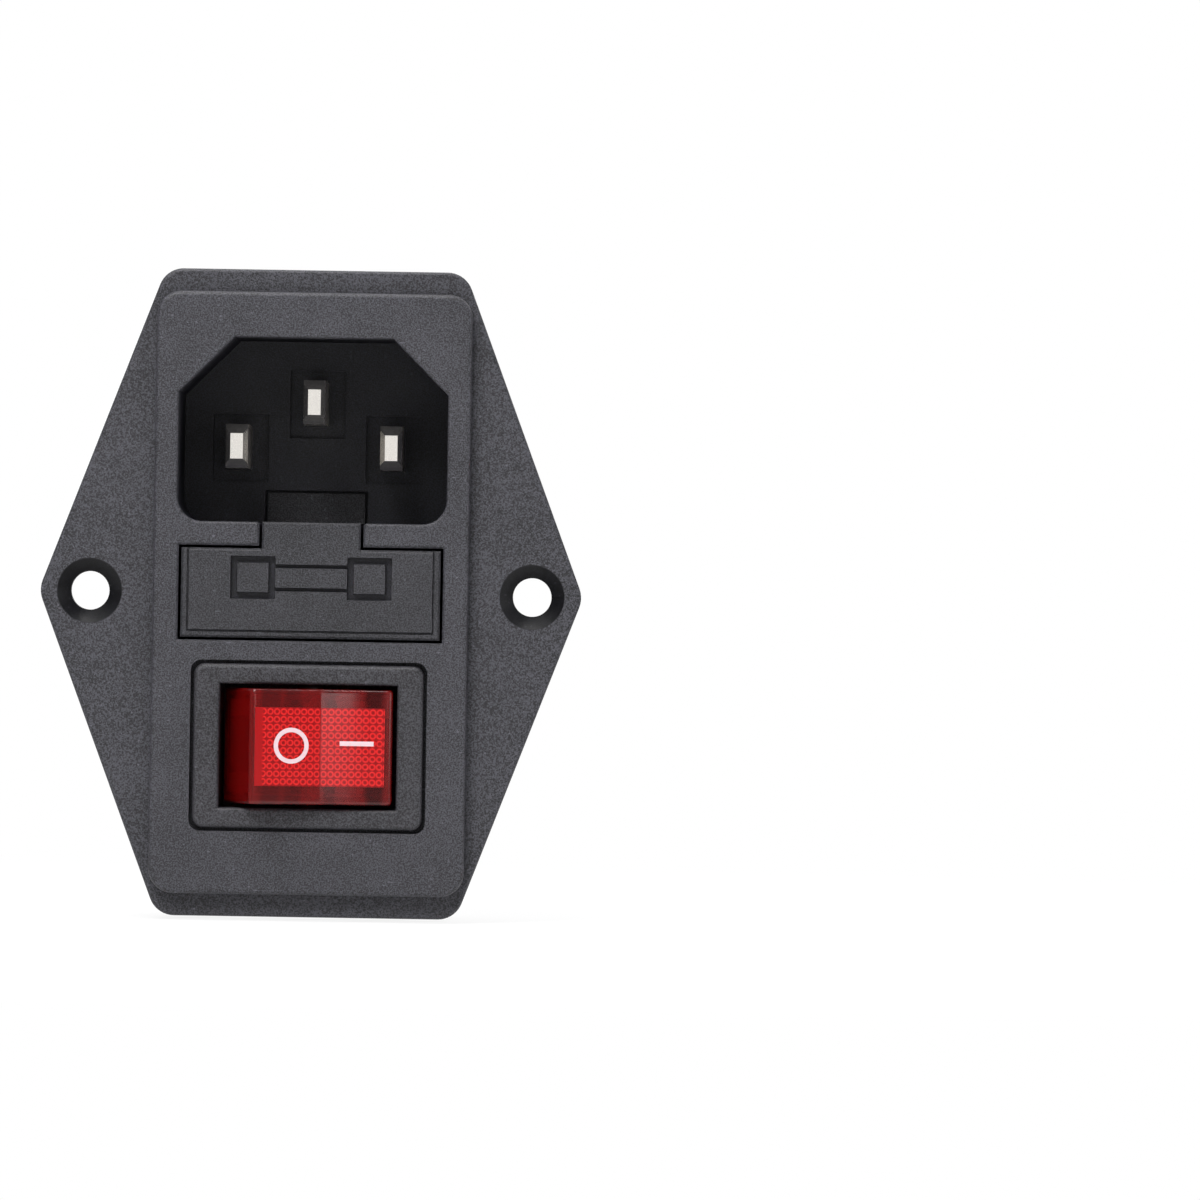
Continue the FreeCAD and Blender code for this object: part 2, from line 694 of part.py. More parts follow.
def make_strap():
    """The flat link from the line pin down to the line fuse clip."""
    body = new_part("link_strap")
    outer = -pin_x - S.plate_wide / 2
    inner = -pin_x + S.plate_wide / 2
    stem = outer + S.strap_wide
    top, neck, low = S.pin_line + S.plate_edge, S.pin_line - S.strap_neck, S.fuse_line - S.strap_end
    outline = [(outer, low), (stem, low), (stem, neck), (inner, neck), (inner, top), (outer, top)]
    extrude(body, "XZ_Plane", [outline], back, plate_top)
    dress(body, "Chamfer", S.plate_clip, corners("XZ_Plane", outline[4:]))
    dress(body, "Fillet", S.strap_corner, corners("XZ_Plane", outline[:2]))
    dress(body, "Chamfer", S.plate_rim, level("XZ_Plane", plate_top))
    holes = [(-pin_x, S.pin_line), (-clip_x, S.fuse_line)]
    cut(body, "XZ_Plane", [centred(neck_hole, neck_hole, x, z) for x, z in holes], back, plate_top)


def make_clip(label, x):
    """A spring clip for one fuse cap: a base on the back wall and two arms with flared lips."""
    body = new_part(label)
    skin = S.clip_skin
    grip = S.fuse_cap / 2 + S.clip_room
    base = inlet_floor - skin
    mouth = base - S.clip_long
    lip = mouth - 2 * S.clip_flare
    z = S.fuse_line
    arms = [(inlet_floor, z - grip - skin), (inlet_floor, z + grip + skin), (mouth, z + grip + skin),
            (lip, z + grip + skin + S.clip_flare), (lip, z + grip + S.clip_flare), (mouth, z + grip),
            (base, z + grip), (base, z - grip), (mouth, z - grip), (lip, z - grip - S.clip_flare),
            (lip, z - grip - skin - S.clip_flare), (mouth, z - grip - skin)]
    extrude(body, "YZ_Plane", [arms], x - S.clip_wide / 2, x + S.clip_wide / 2)
    cut(body, "XZ_Plane", [centred(neck_hole, neck_hole, x, z)], base, inlet_floor)


def make_drawer():
    """The fuse drawer: stemmed face, cradle block, side arms, and a tongue that ends in a lug."""
    body = new_part("fuse_drawer")
    half, block = drawer_half, block_half
    face_back = panel_front + S.drawer_face
    face = [(-half, drawer_low), (half, drawer_low), (half, drawer_high), (stem_half, drawer_high),
            (stem_half, inlet_low), (-stem_half, inlet_low), (-stem_half, drawer_high), (-half, drawer_high)]
    extrude(body, "XZ_Plane", [face], panel_front, face_back)
    dress(body, "Chamfer", S.drawer_edge, level("XZ_Plane", panel_front))
    field = box(-half + S.drawer_border, half - S.drawer_border, drawer_low + S.drawer_border, drawer_high)
    cut(body, "XZ_Plane", [field], panel_front, panel_front + S.drawer_field)
    block_end = inlet_floor - S.arm_gap
    extrude(body, "XZ_Plane", [box(-block, block, drawer_low, drawer_high)], face_back, block_end)
    lug_end = inlet_floor + S.lug_thick
    tongue = [(face_back, drawer_high), (lug_end, drawer_high), (lug_end, lug_high), (inlet_floor, lug_high),
              (inlet_floor, inlet_low), (face_back, inlet_low)]
    extrude(body, "YZ_Plane", [tongue], -stem_half, stem_half)
    cradle = S.fuse_cap / 2 + S.fuse_room
    cut(body, "YZ_Plane", [(fuse_y, S.fuse_line, 2 * cradle)], -block, block)
    gate = box(fuse_y, block_end, S.fuse_line - cradle, S.fuse_line + cradle)
    cut(body, "YZ_Plane", [gate], -block, block)
    arm_low, arm_high = S.fuse_line - S.arm_tall / 2, S.fuse_line + S.arm_tall / 2
    arms = [box(arm_in, arm_out, arm_low, arm_high), box(-arm_out, -arm_in, arm_low, arm_high)]
    extrude(body, "XZ_Plane", arms, face_back, block_end)


def make_fuse():
    """The glass fuse: tube, two pressed caps and the wire between them, along X in the drawer."""
    long, radius = fuse_half, S.fuse_cap / 2
    glass = radius - S.fuse_cap_skin
    bore = glass - S.fuse_glass
    inside = long - S.fuse_cap_skin
    shapes = {
        "fuse_tube": [(-inside, bore), (inside, bore), (inside, glass), (-inside, glass)],
        "fuse_wire": [(-inside, 0), (inside, 0), (inside, S.fuse_wire / 2), (-inside, S.fuse_wire / 2)],
    }
    for side, name in ((-1, "fuse_cap_left"), (1, "fuse_cap_right")):
        rim = side * (long - S.fuse_cap_long)
        shapes[name] = [(side * long, 0), (side * long, radius), (rim, radius), (rim, glass),
                        (side * inside, glass), (side * inside, 0)]
    for name, points in shapes.items():
        body = new_part(name)
        revolve(body, "XY_Plane", points, "H_Axis")
        place(body, 0, fuse_y, S.fuse_line)


def make_case():
    """The switch case: bezel, box, snap latches, barrier, and slots for terminals and leads."""
    body = new_part("switch_case")
    bezel = centred(S.bezel_width, S.bezel_height)
    extrude(body, "XZ_Plane", [bezel], bezel_front, bezel_seat)
    dress(body, "Fillet", S.bezel_corner, corners("XZ_Plane", bezel))
    dress(body, "Fillet", S.bezel_edge, level("XZ_Plane", bezel_front))
    extrude(body, "XZ_Plane", [centred(S.case_width, S.case_height)], bezel_seat, case_back)
    half, high = S.case_width / 2, S.case_height / 2
    relief = [box(side * half - S.case_relief, side * half + S.case_relief, high - S.case_relief_tall, high)
              for side in (-1, 1)]
    cut(body, "XZ_Plane", relief, seat_back + S.latch_long, case_back)
    latch_y = seat_back + S.case_room
    for side in (-1, 1):
        root = side * half
        wing = [(root, latch_y), (root + side * S.latch_out, latch_y), (root, latch_y + S.latch_long)]
        extrude(body, "XY_Plane", [wing], -S.latch_wide / 2, S.latch_wide / 2)
    cut(body, "XZ_Plane", [centred(S.mouth_width, S.mouth_height)], bezel_front, case_inside)
    mouth = [(-S.mouth_width / 2, S.mouth_width / 2), (-S.mouth_height / 2, S.mouth_height / 2)]
    dress(body, "Fillet", S.mouth_edge, level("XZ_Plane", bezel_front, mouth))
    saddle = box(S.lamp_at - S.lamp_wide / 2, S.lamp_at, -S.lamp_wide / 3, S.lamp_wide / 3)
    extrude(body, "XZ_Plane", [saddle], pivot_y + S.lamp_deep + S.lamp_wide / 2 + S.contact_gap, case_inside)
    stop_y = fulcrum_y + S.lever_long / 2 * (S.lever_swing / 2).tan() + S.contact_gap
    stop_x = S.feed_at + S.tag_wide / 2 + S.contact_gap
    stop_low, stop_high = S.lane - S.lever_wide / 2, S.lane + S.lever_wide / 2
    stops = [box(stop_x, S.mouth_width / 2, *mirrored(side, stop_low, stop_high)) for side in (-1, 1)]
    extrude(body, "XZ_Plane", stops, stop_y, case_inside)
    room = 2 * S.tag_room
    slots = [centred(S.tag_wide + room, S.tag_skin + room, S.feed_at, side * S.feed_line) for side in (-1, 1)]
    slots += [centred(S.tag_wide + room, S.tag_skin + room, -S.contact_at, side * S.contact_line)
              for side in (-1, 1)]
    slots += [(S.lead_at, side * S.lead_line, S.sleeve_wide + room) for side in (-1, 1)]
    cut(body, "XZ_Plane", slots, case_inside, case_back)
    trunnion_hole = (0, pivot_y, S.trunnion + 2 * S.trunnion_room)
    cut(body, "XY_Plane", [trunnion_hole], -high, high)
    barrier_end = S.case_relief - half
    barrier = box(barrier_end, barrier_end + S.barrier_long, -S.barrier_thick / 2, S.barrier_thick / 2)
    extrude(body, "XZ_Plane", [barrier], case_back, case_back + S.barrier_high)
    side_x = S.feed_at + S.tag_wide / 2 + S.tag_room
    pads = [box(side_x, half - S.case_relief, *mirrored(side, S.feed_line - S.pad_drop, high - S.case_relief))
            for side in (-1, 1)]
    block_low = S.contact_line + S.tag_skin / 2 + S.tag_room
    block_high = block_low + S.block_tall
    tag_left, tag_right = S.tag_wide / 2 + S.contact_at, S.contact_at - S.tag_wide / 2
    pads.append(box(S.block_wide - tag_left - S.block_wide * 1.5, S.block_wide / 2 - tag_left, block_low, block_high))
    pads.append(box(-tag_right - S.block_wide, S.block_wide / 4 - tag_right, block_low, block_high))
    extrude(body, "XZ_Plane", pads, case_back, case_back + S.pad_high)
    place(body, 0, 0, S.switch_line)


def make_rocker():
    """The see-through rocker: dished top, sloped ends, hollow inside, with trunnions and spring bosses."""
    body = new_part("rocker")
    half, rise = S.rocker_top / 2, S.rocker_rise
    slope = (S.rocker_swing / 2).tan()
    foot = half + rise * slope
    keel = S.rocker_keel_wide / 2
    wide, skin = S.rocker_wide / 2, S.rocker_skin
    outline = [(-half, -rise), (0, S.rocker_dip - rise), (half, -rise), (foot, 0), (keel, S.rocker_keel),
               (-keel, S.rocker_keel), (-foot, 0)]
    extrude(body, "XY_Plane", [outline], -wide, wide)
    dress(body, "Fillet", S.rocker_edge, corners("XY_Plane", [outline[0], outline[2]]))
    crown = [(-foot, foot), (-rise, S.rocker_dip - rise)]
    for side in (-1, 1):
        dress(body, "Fillet", S.rocker_rim, level("XY_Plane", side * wide, crown))
    inner_top = half - skin + skin * slope
    inner_foot = foot - skin
    hollow = [(-inner_top, skin - rise), (0, S.rocker_dip + skin - rise), (inner_top, skin - rise),
              (inner_foot, 0), (inner_foot, S.rocker_keel), (-inner_foot, S.rocker_keel), (-inner_foot, 0)]
    inner_wide = wide - S.rocker_side
    cut(body, "XY_Plane", [hollow], -inner_wide, inner_wide)
    roof = S.rocker_dip + skin / 2 - rise
    bosses = [(0, side * S.lane, S.boss_wide) for side in (-1, 1)]
    extrude(body, "XZ_Plane", bosses, roof, S.boss_end)
    bores = [(0, side * S.lane, S.boss_bore) for side in (-1, 1)]
    cut(body, "XZ_Plane", bores, S.rocker_dip + skin - rise, S.rocker_keel)
    extrude(body, "XY_Plane", [(0, 0, S.trunnion)], wide, wide + S.trunnion_out)
    extrude(body, "XY_Plane", [(0, 0, S.trunnion)], -wide - S.trunnion_out, -wide)
    place(body, 0, pivot_y, S.switch_line, (0, 0, 1), S.rocker_swing / 2)


def make_plunger(label, side):
    """The nylon plunger that the spring presses on a contact lever, with a round nose."""
    body = new_part(label)
    nose = S.plunger_stem / 2
    end = S.fulcrum_deep - S.lever_lift - S.lever_skin - S.plunger_gap
    head = S.boss_end - S.plunger_head
    wide = S.plunger_wide / 2
    neck = S.boss_end + wide - nose
    outline = [(0, head), (wide, head), (wide, S.boss_end), (nose, neck), (nose, end), (0, end)]
    revolve(body, "XY_Plane", outline, "V_Axis")
    dress(body, "Fillet", nose * 0.95, level("XZ_Plane", end))
    seat_part(body, side)


def seat_part(part, side):
    """Carry a piece of the rocker to its lane, turned with the rocker."""
    place(part, 0, pivot_y, S.switch_line + side * S.lane, (0, 0, 1), S.rocker_swing / 2)


def make_spring(label, side):
    """The small coil spring between a boss's roof and its plunger."""
    body = new_part(label)
    wire = S.spring_wire
    roof = S.rocker_dip + S.rocker_skin - S.rocker_rise + wire
    floor = S.boss_end - S.plunger_head - wire
    middle = (S.spring_wide - wire) / 2
    section = [(middle + wire / 2 * math.cos(k * math.pi / 3), roof + wire / 2 * math.sin(k * math.pi / 3))
               for k in range(6)]
    sketch = sketch_on(body, "XY_Plane", [section], 0)
    coil = body.newObject("PartDesign::AdditiveHelix", "coil")
    coil.Profile = sketch
    coil.ReferenceAxis = (sketch, ["V_Axis"])
    coil.Mode = "height-turns-angle"
    coil.setExpression("Height", (floor - roof).formula)
    coil.setExpression("Turns", S.spring_turns.formula)
    doc.recompute()
    seat_part(body, side)


def make_lever(label, side):
    """A seesaw contact strip, grooved for its round fulcrum, with a contact button under one end."""
    body = new_part(label)
    under = -S.lever_lift
    extrude(body, "XZ_Plane", [centred(S.lever_long, S.lever_wide)], under - S.lever_skin, under)
    groove = (0, 0, S.blade_skin + 2 * S.lever_room)
    cut(body, "XY_Plane", [groove], -S.lever_wide / 2, S.lever_wide / 2)
    extrude(body, "XZ_Plane", [(-S.contact_at, 0, S.contact_wide)], under, under + S.contact_high)
    place(body, 0, fulcrum_y, S.switch_line + side * S.lane, (0, 0, 1), -S.lever_swing / 2)


def add_tag(body, x, line):
    """The push-on blade of a switch terminal, bevelled at its end and pierced near it."""
    half = S.tag_wide / 2
    skin = S.tag_skin / 2
    rail = case_inside - S.rail_skin
    extrude(body, "XZ_Plane", [box(x - half, x + half, line - skin, line + skin)], rail, tag_tip)
    ends = [(x - half, tag_tip), (x + half, tag_tip)]
    dress(body, "Chamfer", S.tag_clip, corners("XY_Plane", ends))
    cut(body, "XY_Plane", [(x, tag_tip - S.tag_hole_at, S.tag_hole)], line - skin, line + skin)


def make_feed(label, side):
    """A supply-side terminal: blade with an ear outside, rail on the case floor, and the round-topped fulcrum."""
    body = new_part(label)
    rail = case_inside - S.rail_skin
    low, high = mirrored(side, S.feed_line - S.rail_wide + S.tag_skin, S.feed_line + S.tag_skin / 2)
    blade = S.blade_skin / 2
    extrude(body, "XZ_Plane", [box(-blade, S.feed_at + S.tag_wide / 2, low, high)], rail, case_inside)
    extrude(body, "XZ_Plane", [box(-blade, blade, low, high)], fulcrum_y, rail)
    extrude(body, "XY_Plane", [(0, fulcrum_y, S.blade_skin)], low, high)
    add_tag(body, S.feed_at, side * S.feed_line)
    ear_x = S.feed_at - S.tag_wide / 2
    ear = [box(ear_x - S.ear_out, ear_x, ear_top - S.ear_long, ear_top)]
    skin = S.tag_skin / 2
    extrude(body, "XY_Plane", ear, side * S.feed_line - skin, side * S.feed_line + skin)
    place(body, 0, 0, S.switch_line)


def make_contact(label, side):
    """A contact-side terminal: blade outside, pad on the case floor, and the fixed contact button."""
    body = new_part(label)
    rail = case_inside - S.rail_skin
    low, high = mirrored(side, S.lane - S.rail_wide / 2, S.lane + S.rail_wide / 2)
    half = S.tag_wide / 2
    extrude(body, "XZ_Plane", [box(-S.contact_at - half, half - S.contact_at, low, high)], rail, case_inside)
    tilt = S.lever_swing / 2
    far = S.contact_at + S.contact_wide / 2
    drop = S.contact_high - S.lever_lift
    button = fulcrum_y + far * tilt.sin() + drop * tilt.cos() + S.contact_gap
    extrude(body, "XZ_Plane", [(-S.contact_at, side * S.lane, S.contact_wide)], button, rail)
    add_tag(body, -S.contact_at, side * S.contact_line)
    place(body, 0, 0, S.switch_line)


def make_lamp():
    """The neon lamp: one sealed glass bulb with a drawn tip, lying along X under the rocker."""
    body = new_part("neon_lamp")
    radius, half = S.lamp_wide / 2, S.lamp_long / 2
    nib = radius / 4
    outline = [(-half, 0), (half, 0), (half, radius), (radius - half, radius),
               (radius / 2 - half, radius * 0.8), (nib - half, nib)]
    revolve(body, "XY_Plane", outline, "H_Axis")
    place(body, S.lamp_at, pivot_y + S.lamp_deep, S.switch_line)


def wire_route(points, bend):
    """Straight runs through given points, joined by tangent arcs of one radius."""
    edges = []
    start = points[0]
    for before, corner, after in zip(points, points[1:], points[2:]):
        inward = (before - corner).normalize()
        onward = (after - corner).normalize()
        half_turn = (math.pi - inward.getAngle(onward)) / 2
        reach = bend * math.tan(half_turn)
        middle = (inward + onward).normalize()
        apex = corner + middle * (bend / math.cos(half_turn) - bend)
        first = corner + inward * reach
        last = corner + onward * reach
        edges.append(Part.LineSegment(start, first).toShape())
        edges.append(Part.Arc(first, apex, last).toShape())
        start = last
    edges.append(Part.LineSegment(start, points[-1]).toShape())
    return Part.Wire(edges)


def make_wire(label, points, bend):
    """A round wire along a route of straight runs and arcs, in the switch's own frame."""
    part = doc.addObject("Part::Feature", label)
    part.Label = label
    route = wire_route([Vector(*(Size.of(number).value for number in point)) for point in points], bend.value)
    start = route.Edges[0]
    ring = Part.Circle(start.valueAt(start.FirstParameter), start.tangentAt(start.FirstParameter),
                       S.lead_wire.value / 2)
    part.Shape = route.makePipeShell([Part.Wire(ring.toShape())], True, True)
    part.Placement = Placement(Vector(0, 0, S.switch_line.value), Rotation())
    parts.append(part)


def make_tube(label, x, z, low, high, wide, bore):
    """A short round tube along Y, in the switch's own frame."""
    body = new_part(label)
    extrude(body, "XZ_Plane", [(x, z, wide)], low, high)
    cut(body, "XZ_Plane", [(x, z, bore)], low, high)
    place(body, 0, 0, S.switch_line)


def make_indicator():
    """The lamp with its two leads, their sleeves through the case floor and the ballast resistor."""
    make_lamp()
    lamp_y = pivot_y + S.lamp_deep
    lamp_end = S.lamp_at + S.lamp_long / 2
    bore = S.lead_wire + 2 * S.tag_room
    sleeve_end = case_back + S.sleeve_up
    wire = S.lead_wire
    hook_x = S.feed_at - S.tag_wide / 2 - wire * 0.8
    hook_y = ear_top + wire * 0.8
    near, over = S.feed_line - S.tag_skin / 2, S.feed_line + S.tag_skin / 2
    resistor_low = lamp_y + S.resistor_down
    resistor_high = resistor_low + S.resistor_long
    for side, name in ((1, "upper"), (-1, "lower")):
        line = side * S.lead_line
        start = (lamp_end, lamp_y, side * S.lead_pitch / 2)
        drop = (S.lead_at, lamp_y + S.lead_run, line)
        rise = (S.lead_at, sleeve_end + S.lead_run, line)
        hook = (hook_x, hook_y, side * (near - wire * 0.6))
        top = (hook_x, hook_y + wire * 0.6, side * (over + wire * 0.8))
        tail = (S.feed_at - wire, hook_y + wire * 1.2, side * (over + wire * 1.2))
        make_tube(f"lead_sleeve_{name}", S.lead_at, line, case_inside, sleeve_end, S.sleeve_wide, bore)
        if side > 0:
            make_wire(f"lamp_lead_{name}", [start, drop, rise, hook, top, tail], S.lead_bend)
            continue
        make_wire("resistor_lead", [start, drop, (S.lead_at, resistor_low, line)], S.lead_bend)
        make_wire(f"lamp_lead_{name}", [(S.lead_at, resistor_high, line), rise, hook, top], S.lead_bend)
        body = new_part("ballast_resistor")
        extrude(body, "XZ_Plane", [(S.lead_at, line, S.resistor_wide)], resistor_low, resistor_high)
        dress(body, "Chamfer", S.resistor_wide / 5, lambda edge: isinstance(edge.Curve, Part.Circle))
        place(body, 0, 0, S.switch_line)


make_housing()
for name, (x, z), extra in zip(("line_pin", "neutral_pin", "earth_pin"), PINS, (0, 0, S.earth_extra)):
    make_pin(name, x, z, extra)
make_terminal("neutral_terminal", pin_x, S.pin_line, 0)
make_terminal("earth_terminal", 0, earth_line, 180)
make_terminal("load_terminal", clip_x, S.fuse_line, 0)
make_strap()
for name, x in (("line", -clip_x), ("load", clip_x)):
    make_clip(f"{name}_fuse_clip", x)
    make_rivet(f"{name}_clip_rivet", x)
make_drawer()
make_fuse()
make_case()
make_rocker()
for name, side in (("upper", 1), ("lower", -1)):
    make_plunger(f"{name}_plunger", side)
    make_spring(f"{name}_spring", side)
    make_lever(f"{name}_lever", side)
    make_feed(f"{name}_feed_terminal", side)
    make_contact(f"{name}_contact_terminal", side)
make_indicator()

doc.recompute()
for thing in doc.Objects:
    if "Invalid" in thing.State or "Error" in thing.State:
        raise ValueError(f"{thing.Label} did not build: {thing.State}")
os.makedirs("parts", exist_ok=True)
for part in parts:
    if part.Shape.isNull() or not part.Shape.isValid() or not part.Shape.Solids:
        raise ValueError(f"{part.Label} has no sound solid")
for part in parts:
    part.Shape.exportStep(os.path.join("parts", f"{part.Label}.step"))
    print(part.Label, len(part.Shape.Solids), round(part.Shape.Volume, 2))
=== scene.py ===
import logging
import math
from collections.abc import Mapping, Sequence
from dataclasses import dataclass, replace
from enum import Enum
from typing import Any

import bpy
import numpy as np
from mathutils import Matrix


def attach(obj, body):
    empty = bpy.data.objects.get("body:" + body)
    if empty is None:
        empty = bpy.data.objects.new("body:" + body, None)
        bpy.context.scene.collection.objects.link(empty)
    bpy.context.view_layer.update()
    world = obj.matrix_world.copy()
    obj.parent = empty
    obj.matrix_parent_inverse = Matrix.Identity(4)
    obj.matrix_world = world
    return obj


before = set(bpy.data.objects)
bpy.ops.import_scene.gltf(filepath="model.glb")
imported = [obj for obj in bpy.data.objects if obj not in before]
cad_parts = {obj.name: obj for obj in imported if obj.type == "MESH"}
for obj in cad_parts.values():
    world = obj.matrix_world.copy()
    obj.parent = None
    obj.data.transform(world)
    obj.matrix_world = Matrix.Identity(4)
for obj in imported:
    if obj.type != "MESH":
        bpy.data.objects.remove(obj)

MM = 0.001
LOG = logging.getLogger("power_entry_module")

Color = tuple[float, float, float]
Pair = tuple[float, float]
Triple = tuple[float, float, float]
Box = tuple[float, float, float, float]
Line = tuple[np.ndarray, bool]
Surface = tuple[np.ndarray, np.ndarray]

WHITE: Color = (1.0, 1.0, 1.0)
BLACK: Color = (0.0, 0.0, 0.0)
EVEN: Triple = (1.0, 1.0, 1.0)

# A noise's average.
MEAN = 0.5

# u * (1 - u) times this is a parabola that is 1 in the middle.
PARABOLA = 4.0

# The window's map, whose units are millimetres.
WINDOW_MAP = "Millimetres"

# A raised line's section: places across it as shares of its width, and heights as shares of its height.
RIDGE_SIDES = np.array([-0.5, -0.5, -0.36, 0.36, 0.5, 0.5])
RIDGE_HEIGHTS = np.array([-0.3, 0.7, 1.0, 1.0, 0.7, -0.3])


class Body(Enum):
    """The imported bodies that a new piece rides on."""

    MODULE = "module"
    DRAWER = "drawer"
    ROCKER = "rocker_body"


class Slot(Enum):
    """The record's material slots."""

    HOUSING = "housing_black"
    SWITCH = "switch_black"
    ROCKER = "rocker_red"
    PIN = "pin_nickel"
    TIN = "tinned_brass"
    RIVET = "rivet_brass"
    CAP = "cap_nickel"
    LEVER = "lever_copper"
    SPRING = "spring_steel"
    NYLON = "nylon_white"
    GLASS = "clear_glass"
    SLEEVE = "sleeve_red"
    RESISTOR = "resistor_tan"


def scaled(color: Color, factor: float) -> Color:
    """Gives a colour made darker or paler by a factor."""
    red, green, blue = color
    return red * factor, green * factor, blue * factor


def grey(tone: float) -> Color:
    """Gives a neutral colour."""
    return tone, tone, tone


class Value:
    """A shader socket that takes part in sums like a number."""

    def __init__(self, graph: "Graph", socket: bpy.types.NodeSocket) -> None:
        """Wraps a socket.

        Args:
            graph: The material that the socket belongs to.
            socket: The output socket to wrap.
        """
        self.graph = graph
        self.socket = socket

    def math(self, operation: str, *values: Any) -> "Value":
        """Adds a Math node.

        Args:
            operation: The node's operation, such as ADD.
            values: Numbers or sockets, in the order of the node's inputs.

        Returns:
            The node's output.
        """
        made = self.graph.node("ShaderNodeMath", {"operation": operation}, dict(enumerate(values)))
        return Value(self.graph, made.outputs[0])

    def __add__(self, other: Any) -> "Value":
        """Sum."""
        return self.math("ADD", self, other)

    __radd__ = __add__

    def __sub__(self, other: Any) -> "Value":
        """Difference."""
        return self.math("SUBTRACT", self, other)

    def __rsub__(self, other: Any) -> "Value":
        """Difference with this value taken away."""
        return self.math("SUBTRACT", other, self)

    def __mul__(self, other: Any) -> "Value":
        """Product."""
        return self.math("MULTIPLY", self, other)

    __rmul__ = __mul__

    def __truediv__(self, other: Any) -> "Value":
        """Quotient."""
        return self.math("DIVIDE", self, other)

    def __rtruediv__(self, other: Any) -> "Value":
        """Quotient with this value as the divisor."""
        return self.math("DIVIDE", other, self)

    def __pow__(self, other: Any) -> "Value":
        """Power."""
        return self.math("POWER", self, other)

    def __abs__(self) -> "Value":
        """Size without sign."""
        return self.math("ABSOLUTE", self)

    def swing(self) -> "Value":
        """Gives a noise's swing about its average."""
        return self - MEAN

    def step(self, low: float, high: float) -> "Value":
        """Rises smoothly from 0 at low to 1 at high, or falls if low is the larger.

        Args:
            low: The value that gives 0.
            high: The value that gives 1.

        Returns:
            The smooth step.
        """
        made = self.graph.node(
            "ShaderNodeMapRange",
            {"interpolation_type": "SMOOTHSTEP"},
            {"Value": self, "From Min": low, "From Max": high},
        )
        return Value(self.graph, made.outputs[0])


class Graph:
    """The node tree of one material or of the world, with one way to add a node."""

    def __init__(self, tree: bpy.types.NodeTree) -> None:
        """Empties the tree.

        Args:
            tree: The tree to fill.
        """
        self.tree = tree
        self.tree.nodes.clear()

    def node(
        self,
        kind: str,
        settings: Mapping[str, Any] | None = None,
        inputs: Mapping[Any, Any] | None = None,
    ) -> bpy.types.Node:
        """Adds a node.

        Args:
            kind: The node's type.
            settings: The node's own settings, set before its sockets.
            inputs: Numbers, colours or sockets for the node's inputs, by name or index.

        Returns:
            The node.
        """
        made = self.tree.nodes.new(kind)
        for name, value in (settings or {}).items():
            setattr(made, name, value)
        for name, value in (inputs or {}).items():
            self.feed(made.inputs[name], value)
        return made

    def feed(self, socket: bpy.types.NodeSocket, value: Any) -> None:
        """Links a socket to another one, or gives it a plain value.

        Args:
            socket: The input socket.
            value: A wrapped socket, a socket, a number or a colour.
        """
        if isinstance(value, Value):
            self.tree.links.new(value.socket, socket)
        elif isinstance(value, bpy.types.NodeSocket):
            self.tree.links.new(value, socket)
        elif socket.type == "RGBA" and len(value) == 3:
            socket.default_value = (*value, 1.0)
        else:
            socket.default_value = value

    def value(self, node: bpy.types.Node, output: str | int = 0) -> Value:
        """Wraps an output of a node."""
        return Value(self, node.outputs[output])

    def place(self) -> bpy.types.NodeSocket:
        """Gives the place on the object, in metres, in the shared frame."""
        return self.node("ShaderNodeTexCoord").outputs["Object"]

    def axes(self, vector: bpy.types.NodeSocket) -> tuple[Value, Value, Value]:
        """Splits a vector.

        Args:
            vector: The vector's socket.

        Returns:
            Its three parts.
        """
        split = self.node("ShaderNodeSeparateXYZ", inputs={0: vector})
        return self.value(split, 0), self.value(split, 1), self.value(split, 2)

    def millimetres(self, place: bpy.types.NodeSocket) -> tuple[Value, Value, Value]:
        """Splits a place in metres into X, Y and Z in millimetres."""
        x, y, z = self.axes(place)
        return x / MM, y / MM, z / MM

    def noise(
        self,
        place: bpy.types.NodeSocket,
        grain: float,
        detail: float = 2.0,
        stretch: Triple = EVEN,
    ) -> Value:
        """Adds a noise.

        Args:
            place: The vector to take it at, in metres.
            grain: The size of its grains in millimetres.
            detail: How many finer layers it has.
            stretch: How much longer the grains are along each axis.

        Returns:
            The noise, about 0.5 on average.
        """
        scale = tuple(1.0 / (grain * MM * s) for s in stretch)
        mapped = self.node("ShaderNodeMapping", inputs={"Vector": place, "Scale": scale})
        made = self.node(
            "ShaderNodeTexNoise",
            inputs={"Vector": mapped.outputs[0], "Scale": 1.0, "Detail": detail},
        )
        return self.value(made)

    def mix(self, share: Any, first: Any, second: Any) -> Value:
        """Mixes two colours.

        Args:
            share: The share of the second colour.
            first: The first colour.
            second: The second colour.

        Returns:
            The mixed colour.
        """
        made = self.node("ShaderNodeMix", {"data_type": "RGBA"}, {0: share, 6: first, 7: second})
        return self.value(made, 2)

    def bump(self, height: Value, depth: float, strength: float = 1.0) -> bpy.types.NodeSocket:
        """Adds a bump.

        Args:
            height: The height, from 0 to 1.
            depth: The real depth of one unit of height, in millimetres.
            strength: The share of the bump that shows.

        Returns:
            The bumped normal.
        """
        made = self.node(
            "ShaderNodeBump",
            inputs={"Height": height, "Distance": depth * MM, "Strength": strength},
        )
        return made.outputs[0]

    def surface(self, inputs: Mapping[str, Any]) -> None:
        """Ends the material with a Principled shader.

        Args:
            inputs: The shader's sockets.
        """
        shader = self.node("ShaderNodeBsdfPrincipled", inputs=inputs)
        self.node("ShaderNodeOutputMaterial", inputs={"Surface": shader.outputs[0]})


